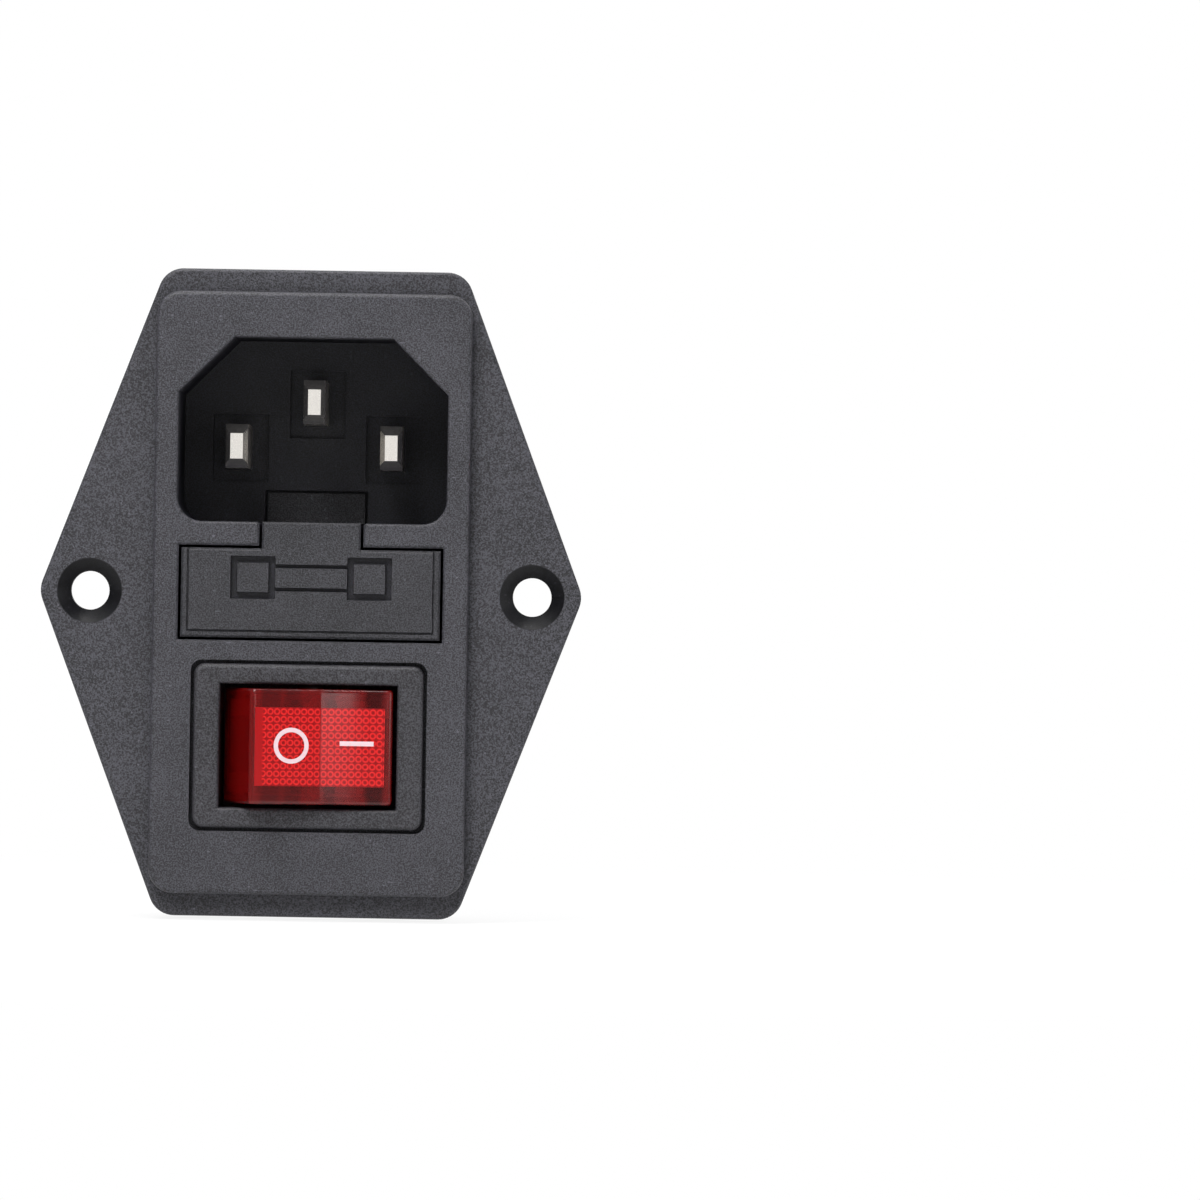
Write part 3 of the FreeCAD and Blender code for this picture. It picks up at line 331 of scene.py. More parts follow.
@dataclass(frozen=True)
class RockerTop:
    """The rocker's top, which the rocker's finish and the pieces on it share. Sizes are in millimetres.

    Attributes:
        pivot: The pivot's place.
        turn: The angle of the rocker at rest, in degrees.
        half: Half the length of the top.
        rise: The height of the top's ends over the pivot.
        dip: How far the middle lies under the ends.
        sag: How far each half is hollowed.
    """

    pivot: Triple = (0.0, 0.4, -13.8)
    turn: float = 11.0
    half: float = 6.45
    rise: float = 6.67
    dip: float = 0.6
    sag: float = 0.06

    @property
    def angle(self) -> float:
        """The angle of the rocker at rest, in radians."""
        return math.radians(self.turn)


@dataclass(frozen=True)
class Finish:
    """A named finish. A kind of finish says how its material is drawn.

    Attributes:
        name: The material's name.
        slot: The record's slot that the finish belongs to.
        color: The main colour, linear.
        roughness: How dull the surface is.
    """

    name: str
    slot: Slot
    color: Color
    roughness: float

    def material(self) -> bpy.types.Material:
        """Makes the material, or finds the one made before.

        Returns:
            The material.
        """
        name = f"finish_{self.name}"
        made = bpy.data.materials.get(name)
        if made is None:
            made = bpy.data.materials.new(name)
            made.use_nodes = True
            self.draw(Graph(made.node_tree))
        return made

    def draw(self, graph: Graph) -> None:
        """Draws the material's nodes."""
        raise NotImplementedError(self.name)


@dataclass(frozen=True)
class Moulding(Finish):
    """Spark-eroded moulded plastic: fine grain and a few pale specks on the shown side, smoother behind,
    with painted shade there and in the screw sinks.

    Attributes:
        grain: The size of the grains in millimetres.
        depth: The depth of the grains in millimetres.
        contrast: How far the grains' tones lie apart.
        behind: The place along Y, in millimetres, from which the surface is smoother and carries painted
            shade, darker and bluer.
        sinks: The middles of polished screw sinks, which carry painted shade, as X and Z in millimetres.
        sink_wide: The diameter of a screw sink in millimetres.
        tones: How far the darkest and the palest grains lie from the main colour, as shares of it.
        spread: How strongly grains and clouds show in the tone.
        cloud: The size of the faint clouds in millimetres.
        unevenness: How far clouds and grains change the roughness.
        speck: The size of the pale specks in millimetres.
        speck_levels: The levels of the specks' noise where a speck starts and where it is full.
        speck_share: The share of a speck's colour at full contrast.
        speck_tone: A speck's colour as a multiple of the main one.
        gloss: The level of the plastic's mirror light.
        behind_soft: Half the width of the change at behind, in millimetres.
        sink_soft: How far outside and inside its edge a sink's change lies, in millimetres.
        cool: How many times bluer the painted shade of the smoother parts is.
        painted_shade_tones: The darkest and palest grains of the painted shade in the smoother parts, as
            multiples of the bluer colour.
        sink_painted_shade: The share of colour that a sink loses to painted shade, towards black.
        polish: How much less rough the surface is behind and in the sinks.
        levelled: The shares of the grains' depth that are lost behind and in the sinks.
        speck_loss: The share of the specks that is lost in the smoother parts.
    """

    grain: float = 0.13
    depth: float = 0.02
    contrast: float = 1.0
    behind: float | None = None
    sinks: tuple[Pair, ...] = ()
    sink_wide: float = 5.8
    tones: Pair = (0.6, 0.75)
    spread: Pair = (3.2, 0.4)
    cloud: float = 5.0
    unevenness: Pair = (0.14, 0.2)
    speck: float = 0.31
    speck_levels: Pair = (0.76, 0.84)
    speck_share: float = 0.5
    speck_tone: float = 4.0
    gloss: float = 0.45
    behind_soft: float = 0.15
    sink_soft: Pair = (0.1, 0.02)
    cool: float = 1.42
    painted_shade_tones: Pair = (0.03, 0.62)
    sink_painted_shade: float = 0.8
    polish: Pair = (0.02, 0.12)
    levelled: Pair = (0.4, 0.6)
    speck_loss: float = 0.8

    def draw(self, graph: Graph) -> None:
        """Draws grain, specks and faint clouds, and the change to the smoother parts, which carry painted
        shade.

        Args:
            graph: The material's nodes.
        """
        place = graph.place()
        grain = graph.noise(place, self.grain)
        cloud = graph.noise(place, self.cloud)
        speck = graph.noise(place, self.speck, detail=0.0).step(*self.speck_levels)
        dark = scaled(self.color, 1.0 - self.tones[0] * self.contrast)
        pale = scaled(self.color, 1.0 + self.tones[1] * self.contrast)
        share = grain.swing() * self.spread[0] + cloud.swing() * self.spread[1] + MEAN
        share = share.step(0.0, 1.0)
        tone = graph.mix(share, dark, pale)
        rough = self.roughness + cloud.swing() * self.unevenness[0] + grain.swing() * self.unevenness[1]
        if self.behind is not None:
            hollow, sink = self._smooth_and_painted_shade(graph, place)
            smooth = hollow.math("MAXIMUM", hollow, sink)
            # The smoother parts get a darker, bluer painted shade, and the sinks are painted darker still,
            # towards black.
            bluer = (self.color[0], self.color[1], self.color[2] * self.cool)
            deep = graph.mix(share, scaled(bluer, self.painted_shade_tones[0]), scaled(bluer, self.painted_shade_tones[1]))
            tone = graph.mix(smooth, tone, deep)
            tone = graph.mix(sink * self.sink_painted_shade, tone, BLACK)
            rough = rough - hollow * self.polish[0] - sink * self.polish[1]
            grain = grain * (1.0 - hollow * self.levelled[0] - sink * self.levelled[1])
            speck = speck * (1.0 - smooth * self.speck_loss)
        tone = graph.mix(speck * self.speck_share * self.contrast, tone, scaled(self.color, self.speck_tone))
        graph.surface(
            {
                "Base Color": tone,
                "Roughness": rough,
                "Normal": graph.bump(grain, self.depth),
                "Specular IOR Level": self.gloss,
            }
        )

    def _smooth_and_painted_shade(self, graph: Graph, place: bpy.types.NodeSocket) -> tuple[Value, Value]:
        """Gives the shares of smoothness and painted shade behind the shown side and in the screw sinks.

        Args:
            graph: The material's nodes.
            place: The place on the object.

        Returns:
            The share behind and the share in the sinks.
        """
        x, y, z = graph.millimetres(place)
        hollow = y.step(self.behind - self.behind_soft, self.behind + self.behind_soft)
        edge = self.sink_wide / 2
        sink: Value | float = 0.0
        for middle_x, middle_z in self.sinks:
            off = ((x - middle_x) ** 2.0 + (z - middle_z) ** 2.0) ** 0.5
            sink = sink + off.step(edge + self.sink_soft[0], edge - self.sink_soft[1])
        return hollow, sink * (1.0 - hollow)


@dataclass(frozen=True)
class Metal(Finish):
    """Plated or bare metal with drawn lines and a little tarnish.

    Attributes:
        tarnish: The colour of the tarnish.
        spread: The share of the surface that is tarnished.
        lines: How much longer the drawn lines are along each axis.
        line: The width of the drawn lines in millimetres.
        line_depth: The depth of the drawn lines in millimetres.
        line_share: The share of that depth that shows.
        patch: The size of the tarnish's patches in millimetres.
        levels: The levels of the patches' noise where a patch would start and be full with no spread.
        widening: How far the spread lowers those two levels.
        unevenness: How far lines and patches change the roughness.
    """

    tarnish: Color = (0.3, 0.28, 0.25)
    spread: float = 0.3
    lines: Triple = (1.0, 12.0, 1.0)
    line: float = 0.07
    line_depth: float = 0.002
    line_share: float = 0.4
    patch: float = 0.45
    levels: Pair = (0.8, 1.0)
    widening: Pair = (0.5, 0.2)
    unevenness: Pair = (0.18, 0.16)

    def draw(self, graph: Graph) -> None:
        """Draws the lines as roughness and bump, and the tarnish as colour.

        Args:
            graph: The material's nodes.
        """
        place = graph.place()
        line = graph.noise(place, self.line, stretch=self.lines)
        patch = graph.noise(place, self.patch, detail=4.0)
        start, full = (level - self.spread * wide for level, wide in zip(self.levels, self.widening))
        share = patch.step(start, full)
        rough = self.roughness + line.swing() * self.unevenness[0] + share * self.unevenness[1]
        graph.surface(
            {
                "Base Color": self.tone(graph, graph.mix(share, self.color, self.tarnish)),
                "Metallic": 1.0,
                "Roughness": rough + self.dullness(graph),
                "Normal": graph.bump(line, self.line_depth, self.line_share),
            }
        )

    def tone(self, graph: Graph, plain: Value) -> Value:
        """Gives the colour over the whole surface, which here is the plain one."""
        return plain

    def dullness(self, graph: Graph) -> Value | float:
        """Gives what is added to the roughness, which here is nothing."""
        return 0.0


@dataclass(frozen=True)
class StakedMetal(Metal):
    """Plated metal whose staked end shows bare brass in the pressed cross.

    Attributes:
        stake: The middle of the staked end, as X and Z in millimetres.
        level: The place along Y, in millimetres, where the staked end starts.
        level_soft: The width of the change there, in millimetres.
        cross: Half the cross's width along X, in millimetres.
        cross_soft: How far outside and inside its edge the cross's change lies, in millimetres.
        bare: The colour of the bare brass.
        worn: The share of that colour where it is darkest.
        wander: The size of the cross's ragged bits and how far they reach, in millimetres.
        shank: The place along Y, in millimetres, behind which the shank is satin and not bright.
        shank_soft: The width of the change there, in millimetres.
        dull: How much rougher the staked end and the shank are.
    """

    stake: Pair = (0.0, 0.0)
    level: float = 15.65
    level_soft: float = 0.05
    cross: float = 0.4
    cross_soft: Pair = (0.08, 0.1)
    bare: Color = (0.78, 0.5, 0.17)
    worn: float = 0.55
    wander: Pair = (0.5, 0.3)
    shank: float = 0.0
    shank_soft: float = 0.5
    dull: Pair = (0.15, 0.25)

    def dullness(self, graph: Graph) -> Value:
        """Gives the staked end its dull surface and the shank its satin one.

        Args:
            graph: The material's nodes.

        Returns:
            What is added to the roughness.
        """
        _, y, _ = graph.millimetres(graph.place())
        satin = y.step(self.shank, self.shank + self.shank_soft)
        return self._staked(y) * self.dull[0] + satin * self.dull[1]

    def tone(self, graph: Graph, plain: Value) -> Value:
        """Gives the plating with brass along both diagonals of the staked end.

        Args:
            graph: The material's nodes.
            plain: The plating's colour.

        Returns:
            The colour over the whole surface.
        """
        place = graph.place()
        x, y, z = graph.millimetres(place)
        size, reach = self.wander
        wander = graph.noise(place, size, detail=3.0)
        off = abs(abs(x - self.stake[0]) - abs(z - self.stake[1])) + wander.swing() * reach
        inside = off.step(self.cross + self.cross_soft[0], self.cross - self.cross_soft[1])
        brass = graph.mix(wander, scaled(self.bare, self.worn), self.bare)
        return graph.mix(inside * self._staked(y), plain, brass)

    def _staked(self, y: Value) -> Value:
        """Gives 1 on the staked end and 0 in front of it."""
        return y.step(self.level - self.level_soft, self.level)


@dataclass(frozen=True)
class Clear(Finish):
    """Clear glass or tinted clear plastic with faint handling marks.

    Attributes:
        refraction: The index of refraction.
        clearness: The share of light that passes rather than scatters.
        smear: The size of the handling marks in millimetres.
        smear_tone: The share of the tint under a mark.
        smear_rough: How far the marks change the roughness.
        gloss: The level of the surface's mirror light.
    """

    refraction: float = 1.5
    clearness: float = 1.0
    smear: float = 1.8
    smear_tone: float = 0.9
    smear_rough: float = 0.05
    gloss: float = 0.35

    def draw(self, graph: Graph) -> None:
        """Draws a transmitting surface whose gloss is a little uneven.

        Args:
            graph: The material's nodes.
        """
        smear = graph.noise(graph.place(), self.smear, detail=3.0)
        tone = graph.mix(smear, self.color, scaled(self.color, self.smear_tone))
        graph.surface(self.inputs(graph, tone, self.roughness + smear.swing() * self.smear_rough))

    def inputs(self, graph: Graph, tone: Value, rough: Value) -> dict[str, Any]:
        """Gives the shader's sockets.

        Args:
            graph: The material's nodes.
            tone: The tint.
            rough: The roughness.

        Returns:
            The sockets by name.
        """
        return {
            "Base Color": tone,
            "Roughness": rough,
            "Transmission Weight": self.clearness,
            "IOR": self.refraction,
            "Specular IOR Level": self.gloss,
        }


@dataclass(frozen=True)
class RockerSkin(Clear):
    """The rocker's tinted clear plastic: dished on top, with bars of painted shade along it, dull and
    painted dark as shade at the trunnions.

    Attributes:
        top: The rocker's top.
        bars: Each bar of painted shade, for the dark parts seen through the rocker: its middle along the
            rocker and half width, in millimetres, and its strength.
        bar_soft: Half the width of a bar's change at its edges, in millimetres.
        bar_painted_shade: The share of the tint left in a bar of painted shade.
        wander: The size of the bars' ragged bits in millimetres.
        side: Half the rocker's width, outside which the surface is dull and painted dark as shade, in
            millimetres.
        side_soft: The width of the change there, in millimetres.
        trunnion_shade: The colour of the painted shade on the trunnions.
        trunnion_shade_share: The share of that colour there.
        trunnion_rough: How much rougher the dull parts are.
    """

    top: RockerTop = RockerTop()
    bars: tuple[Triple, ...] = ((-4.6, 0.9, 0.6), (-2.6, 0.8, 0.6), (0.9, 0.5, 0.6), (4.85, 0.8, 1.0))
    bar_soft: float = 0.35
    bar_painted_shade: float = 0.3
    wander: float = 0.9
    side: float = 5.21
    side_soft: float = 0.05
    trunnion_shade: Color = (0.004, 0.0, 0.0)
    trunnion_shade_share: float = 0.9
    trunnion_rough: float = 0.6

    def inputs(self, graph: Graph, tone: Value, rough: Value) -> dict[str, Any]:
        """Adds the bars of painted shade, the dull trunnions with their painted shade and the hollowed
        normal to the clear sockets.

        Args:
            graph: The material's nodes.
            tone: The tint.
            rough: The roughness.

        Returns:
            The sockets by name.
        """
        place = graph.place()
        x, y, z = graph.millimetres(place)
        ahead, turn = math.cos(self.top.angle), math.sin(self.top.angle)
        along = (x - self.top.pivot[0]) * ahead + (y - self.top.pivot[1]) * turn
        wander = graph.noise(place, self.wander, detail=3.0).swing()
        # Bars of painted shade stand for the dark parts seen through the rocker.
        for middle, wide, strength in self.bars:
            bar = abs(along - middle + wander).step(wide + self.bar_soft, wide - self.bar_soft)
            tone = graph.mix(bar * strength, tone, scaled(self.color, self.bar_painted_shade))
        # The trunnions are painted nearly black, as shade.
        dull = abs(z - self.top.pivot[2]).step(self.side, self.side + self.side_soft)
        tone = graph.mix(dull * self.trunnion_shade_share, tone, self.trunnion_shade)
        out = abs(along) / self.top.half
        hollow = (out * out - out) * PARABOLA
        made = super().inputs(graph, tone, rough + dull * self.trunnion_rough)
        return made | {"Normal": graph.bump(hollow, self.top.sag)}


@dataclass(frozen=True)
class RingedWindow(Finish):
    """The rocker's lit window: rows of small moulded rings under a clear top, whose tones are painted shade
    in the hollows and painted highlight on the crests, with a dark line of painted shade along the fold.

    Attributes:
        pitch: The spacing of the rings along and across the rocker, in millimetres.
        radius: The radius of a ring's crest, in millimetres.
        ridge: How far from its crest a ring is full and where it ends, in millimetres.
        ring_high: The height of a ring in millimetres.
        uneven: The least height of a ring, and how much its noise adds.
        wander: The size of that noise's grains in millimetres.
        low: The colour in the rings' middles and between them, as painted shade.
        crest: The colour of the painted highlight on the rings' crests.
        color_rise: The heights between which the main colour comes up.
        crest_highlight_rise: The heights between which the painted highlight on the crests comes up.
        plain: The place along the rocker, in millimetres, left of which the window has no rings.
        plain_soft: How far right and left of it that change lies, in millimetres.
        plain_high: The height of the part with no rings.
        fold: How far from the fold its dark line of painted shade is full and where it ends, in millimetres.
        fold_shade_share: The strength of that line.
        unevenness: How far the noise changes the roughness.
        gloss: The level of the rings' own mirror light.
        coat: The weight and the roughness of the clear top.
    """

    pitch: Pair = (0.625, 0.70)
    radius: float = 0.235
    ridge: Pair = (0.02, 0.13)
    ring_high: float = 0.06
    uneven: Pair = (0.55, 0.8)
    wander: float = 0.5
    low: Color = (0.22, 0.0, 0.001)
    crest: Color = (0.57, 0.009, 0.009)
    color_rise: Pair = (0.0, 0.45)
    crest_highlight_rise: Pair = (0.35, 0.95)
    plain: float = -5.45
    plain_soft: Pair = (0.25, 0.05)
    plain_high: float = 0.2
    fold: Pair = (0.04, 0.16)
    fold_shade_share: float = 0.7
    unevenness: float = 0.1
    gloss: float = 0.05
    coat: Pair = (0.75, 0.12)

    def draw(self, graph: Graph) -> None:
        """Draws the rings from the window's own map, whose units are millimetres.

        Args:
            graph: The material's nodes.
        """
        spread = graph.node("ShaderNodeUVMap", {"uv_map": WINDOW_MAP})
        u, v, _ = graph.axes(spread.outputs[0])
        along = self._cell(u, self.pitch[0])
        across = self._cell(v, self.pitch[1])
        reach = (along * along + across * across) ** 0.5
        full, foot = self.ridge
        ring = abs(reach - self.radius).step(foot, full)
        wander = graph.noise(graph.place(), self.wander, detail=3.0)
        ring = ring * (self.uneven[0] + wander * self.uneven[1])
        bare = u.step(self.plain + self.plain_soft[0], self.plain - self.plain_soft[1])
        ring = ring + (self.plain_high - ring) * bare
        # The tone follows the rings' height: painted shade low down and a painted highlight on the crests.
        tone = graph.mix(ring.step(*self.color_rise), self.low, self.color)
        tone = graph.mix(ring.step(*self.crest_highlight_rise), tone, self.crest)
        # A dark line of painted shade along the fold.
        full, foot = self.fold
        tone = graph.mix(abs(u).step(foot, full) * self.fold_shade_share, tone, self.low)
        graph.surface(
            {
                "Base Color": tone,
                "Roughness": self.roughness + wander.swing() * self.unevenness,
                "Normal": graph.bump(ring, self.ring_high),
                "Specular IOR Level": self.gloss,
                "Coat Weight": self.coat[0],
                "Coat Roughness": self.coat[1],
            }
        )

    @staticmethod
    def _cell(place: Value, pitch: float) -> Value:
        """Gives the distance from the middle of the nearest cell, in millimetres."""
        count = place / pitch
        return (count.math("FRACT", count) - 0.5) * pitch


@dataclass(frozen=True)
class Ink(Finish):
    """Printed paint that is a little thin in places.

    Attributes:
        under: The colour that shows through where the paint is thin.
        grain: The size of the thin places in millimetres.
        levels: The levels of their noise between which the paint thins.
        share: The share of the colour under it that then shows.
        unevenness: How far they change the roughness.
        thickness: The thickness of the paint in millimetres.
    """

    under: Color = (0.7, 0.3, 0.3)
    grain: float = 0.22
    levels: Pair = (0.52, 0.8)
    share: float = 0.5
    unevenness: float = 0.2
    thickness: float = 0.006

    def draw(self, graph: Graph) -> None:
        """Draws the paint with its thin places.

        Args:
            graph: The material's nodes.
        """
        thin = graph.noise(graph.place(), self.grain, detail=3.0)
        graph.surface(
            {
                "Base Color": graph.mix(thin.step(*self.levels) * self.share, self.color, self.under),
                "Roughness": self.roughness + thin.swing() * self.unevenness,
                "Normal": graph.bump(thin, self.thickness),
            }
        )


@dataclass(frozen=True)
class Banded(Finish):
    """Lacquer with painted bands round a part that lies along Y.

    Attributes:
        bands: The place along Y of each band's middle, in millimetres, and its colour.
        wide: The width of a band in millimetres.
        edge: Half the width of the change at a band's edge, in millimetres.
        grain: The size of the lacquer's mottles in millimetres.
        mottle: The share of the main colour in a mottle.
        unevenness: How far the mottles change the roughness.
    """

    bands: tuple[tuple[float, Color], ...] = ()
    wide: float = 0.4
    edge: float = 0.03
    grain: float = 0.15
    mottle: float = 0.8
    unevenness: float = 0.15

    def draw(self, graph: Graph) -> None:
        """Draws the bands over the lacquer.

        Args:
            graph: The material's nodes.
        """
        place = graph.place()
        _, y, _ = graph.millimetres(place)
        speck = graph.noise(place, self.grain)
        tone = graph.mix(speck, self.color, scaled(self.color, self.mottle))
        half = self.wide / 2
        for middle, color in self.bands:
            inside = abs(y - middle).step(half + self.edge, half - self.edge)
            tone = graph.mix(inside, tone, color)
        graph.surface({"Base Color": tone, "Roughness": self.roughness + speck.swing() * self.unevenness})


class Palette:
    """The finishes of the module."""

    # Behind -0.2 mm, in the inlet's hollow and on the back, the housing is smoother and painted darker as
    # shade, and so are its screw sinks.
    HOUSING = Moulding(
        "housing_black",
        Slot.HOUSING,
        (0.0268, 0.0264, 0.032),
        0.52,
        depth=0.045,
        contrast=1.25,
        behind=-0.2,
        sinks=((-20.0, 0.0), (20.0, 0.0)),
    )
    DRAWER = Moulding(
        "drawer_black", Slot.HOUSING, (0.0185, 0.0183, 0.022), 0.52, depth=0.045, contrast=1.3
    )
    # Where the plate is sunk past -3.9 mm, in the fuse sign's lines and at its foot, it is painted darker as
    # shade.
    DRAWER_FACE_GROOVE_SHADE = replace(DRAWER, name="drawer_face", behind=-3.9)
    SWITCH = Moulding(
        "switch_black", Slot.SWITCH, (0.0222, 0.0215, 0.0255), 0.52, depth=0.045, contrast=1.3
    )
    ROCKER = RockerSkin("rocker_red", Slot.ROCKER, (0.41, 0.006, 0.006), 0.08, 1.49, 0.76)
    WINDOW = RingedWindow("rocker_window", Slot.ROCKER, (0.4, 0.002, 0.003), 0.55)
    PRINT = Ink("printed_white", Slot.ROCKER, (0.6, 0.45, 0.48), 0.5)
    LINE_PIN = StakedMetal(
        "line_pin", Slot.PIN, (0.78, 0.75, 0.7), 0.19, (0.5, 0.47, 0.42), 0.2, stake=(-7.0, 13.3)
    )
    NEUTRAL_PIN = replace(LINE_PIN, name="neutral_pin", stake=(7.0, 13.3))
    EARTH_PIN = replace(LINE_PIN, name="earth_pin", stake=(0.0, 17.35))
    TIN = Metal("tinned_brass", Slot.TIN, (0.56, 0.54, 0.5), 0.2, (0.46, 0.42, 0.36), 0.4)
    LINE_RIVET = StakedMetal(
        "line_rivet",
        Slot.RIVET,
        (0.72, 0.69, 0.64),
        0.26,
        (0.45, 0.4, 0.32),
        0.3,
        EVEN,
        stake=(-8.15, 0.2),
    )
    LOAD_RIVET = replace(LINE_RIVET, name="load_rivet", stake=(8.15, 0.2))
    CAP = Metal("cap_nickel", Slot.CAP, (0.76, 0.74, 0.7), 0.22, (0.5, 0.47, 0.42), 0.2)
    LEVER = Metal("lever_copper", Slot.LEVER, (0.72, 0.4, 0.28), 0.3, (0.4, 0.2, 0.12), 0.35)
    SPRING = Metal("spring_steel", Slot.SPRING, (0.55, 0.55, 0.56), 0.3, (0.3, 0.29, 0.28), 0.3)
    NYLON = Moulding(
        "nylon_white", Slot.NYLON, (0.72, 0.71, 0.68), 0.45, grain=0.2, depth=0.006, contrast=0.1
    )
    GLASS = Clear("clear_glass", Slot.GLASS, (0.96, 0.97, 0.96), 0.03)
    SLEEVE = Moulding(
        "sleeve_red", Slot.SLEEVE, (0.42, 0.02, 0.016), 0.5, grain=0.3, depth=0.01, contrast=0.3
    )
    RESISTOR = Banded(
        "resistor_tan",
        Slot.RESISTOR,
        (0.56, 0.4, 0.24),
        0.4,
        bands=((4.6, (0.3, 0.1, 0.03)), (5.4, (0.02, 0.02, 0.02)), (6.2, (0.6, 0.42, 0.02))),
    )
    SOLDER = Metal("solder", Slot.TIN, (0.7, 0.7, 0.7), 0.3, (0.45, 0.45, 0.44), 0.3, EVEN)


def grid_faces(rows: int, columns: int) -> np.ndarray:
    """Gives the quads of a grid of points.

    Args:
        rows: The number of points down the grid.
        columns: The number of points across it.

    Returns:
        An array of four point numbers per quad.
    """
    index = np.arange(rows * columns).reshape(rows, columns)
    quads = [index[:-1, :-1], index[:-1, 1:], index[1:, 1:], index[1:, :-1]]
    return np.stack([q.ravel() for q in quads], axis=1)


def make_piece(
    name: str,
    points: np.ndarray,
    faces: np.ndarray,
    finish: Finish,
    body: Body,
    smooth: bool = False,
) -> bpy.types.Object:
    """Makes a mesh piece that rides a body.

    Args:
        name: The piece's name.
        points: Its points in millimetres, in the shared frame.
        faces: Its quads.
        finish: Its finish.
        body: The body that it rides.
        smooth: Whether its faces are shaded smoothly.

    Returns:
        The object.
    """
    mesh = bpy.data.meshes.new(name)
    mesh.vertices.add(len(points))
    mesh.vertices.foreach_set("co", (points * MM).astype(np.float32).ravel())
    mesh.loops.add(faces.size)
    mesh.loops.foreach_set("vertex_index", faces.astype(np.int32).ravel())
    mesh.polygons.add(len(faces))
    mesh.polygons.foreach_set("loop_start", np.arange(0, faces.size, faces.shape[1], dtype=np.int32))
    mesh.polygons.foreach_set("use_smooth", np.full(len(faces), smooth))
    mesh.update(calc_edges=True)
    mesh.validate()
    mesh.materials.append(finish.material())
    made = bpy.data.objects.new(name, mesh)
    bpy.context.scene.collection.objects.link(made)
    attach(made, body.value)
    LOG.info("made %s with %d points", name, len(points))
    return made


def dress_nodes(finish: Finish, *nodes: str) -> None:
    """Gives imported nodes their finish.

    Args:
        finish: The finish.
        nodes: The nodes' names.
    """
    for node in nodes:
        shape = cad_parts[node]
        shape.data.materials.clear()
        shape.data.materials.append(finish.material())


def stroke(path: np.ndarray, wide: float, high: float, closed: bool = False) -> Surface:
    """Carries a flat-topped ridge along a path on a plane.

    The ridge's section has six corners: two under the plane, half the width to each side, two
    shoulders above them, and two at the top, a little further in. At each point of the path the section
    stands across the path's direction. An open path ends in a section that is sunk under the plane.

    Args:
        path: The path's points on the plane, in millimetres.
        wide: The ridge's width.
        high: The ridge's height.
        closed: Whether the path's end joins its start.

    Returns:
        The points, as two places on the plane and a height, and the quads.
    """
    if closed:
        ahead = np.roll(path, -1, axis=0) - np.roll(path, 1, axis=0)
    else:
        ahead = np.gradient(path, axis=0)
    ahead = ahead / np.linalg.norm(ahead, axis=1, keepdims=True)
    side = np.stack([-ahead[:, 1], ahead[:, 0]], axis=1)
    flat = path[:, None, :] + side[:, None, :] * (RIDGE_SIDES * wide)[None, :, None]
    lift = np.broadcast_to(RIDGE_HEIGHTS * high, flat.shape[:2])[..., None]
    points = np.concatenate([flat, lift], axis=2)
    if closed:
        points = np.concatenate([points, points[:1]])
    else:
        first, last = points[:1].copy(), points[-1:].copy()
        first[..., 2] = last[..., 2] = RIDGE_HEIGHTS[0] * high
        points = np.concatenate([first, points, last])
    return points.reshape(-1, 3), grid_faces(*points.shape[:2])


def join(parts: Sequence[Surface]) -> Surface:
    """Joins several sets of points and quads.

    Args:
        parts: The sets.

    Returns:
        All points and all quads.
    """
    starts = np.cumsum([0] + [len(p) for p, _ in parts[:-1]])
    points = np.concatenate([p for p, _ in parts])
    faces = np.concatenate([f + s for (_, f), s in zip(parts, starts)])
    return points, faces


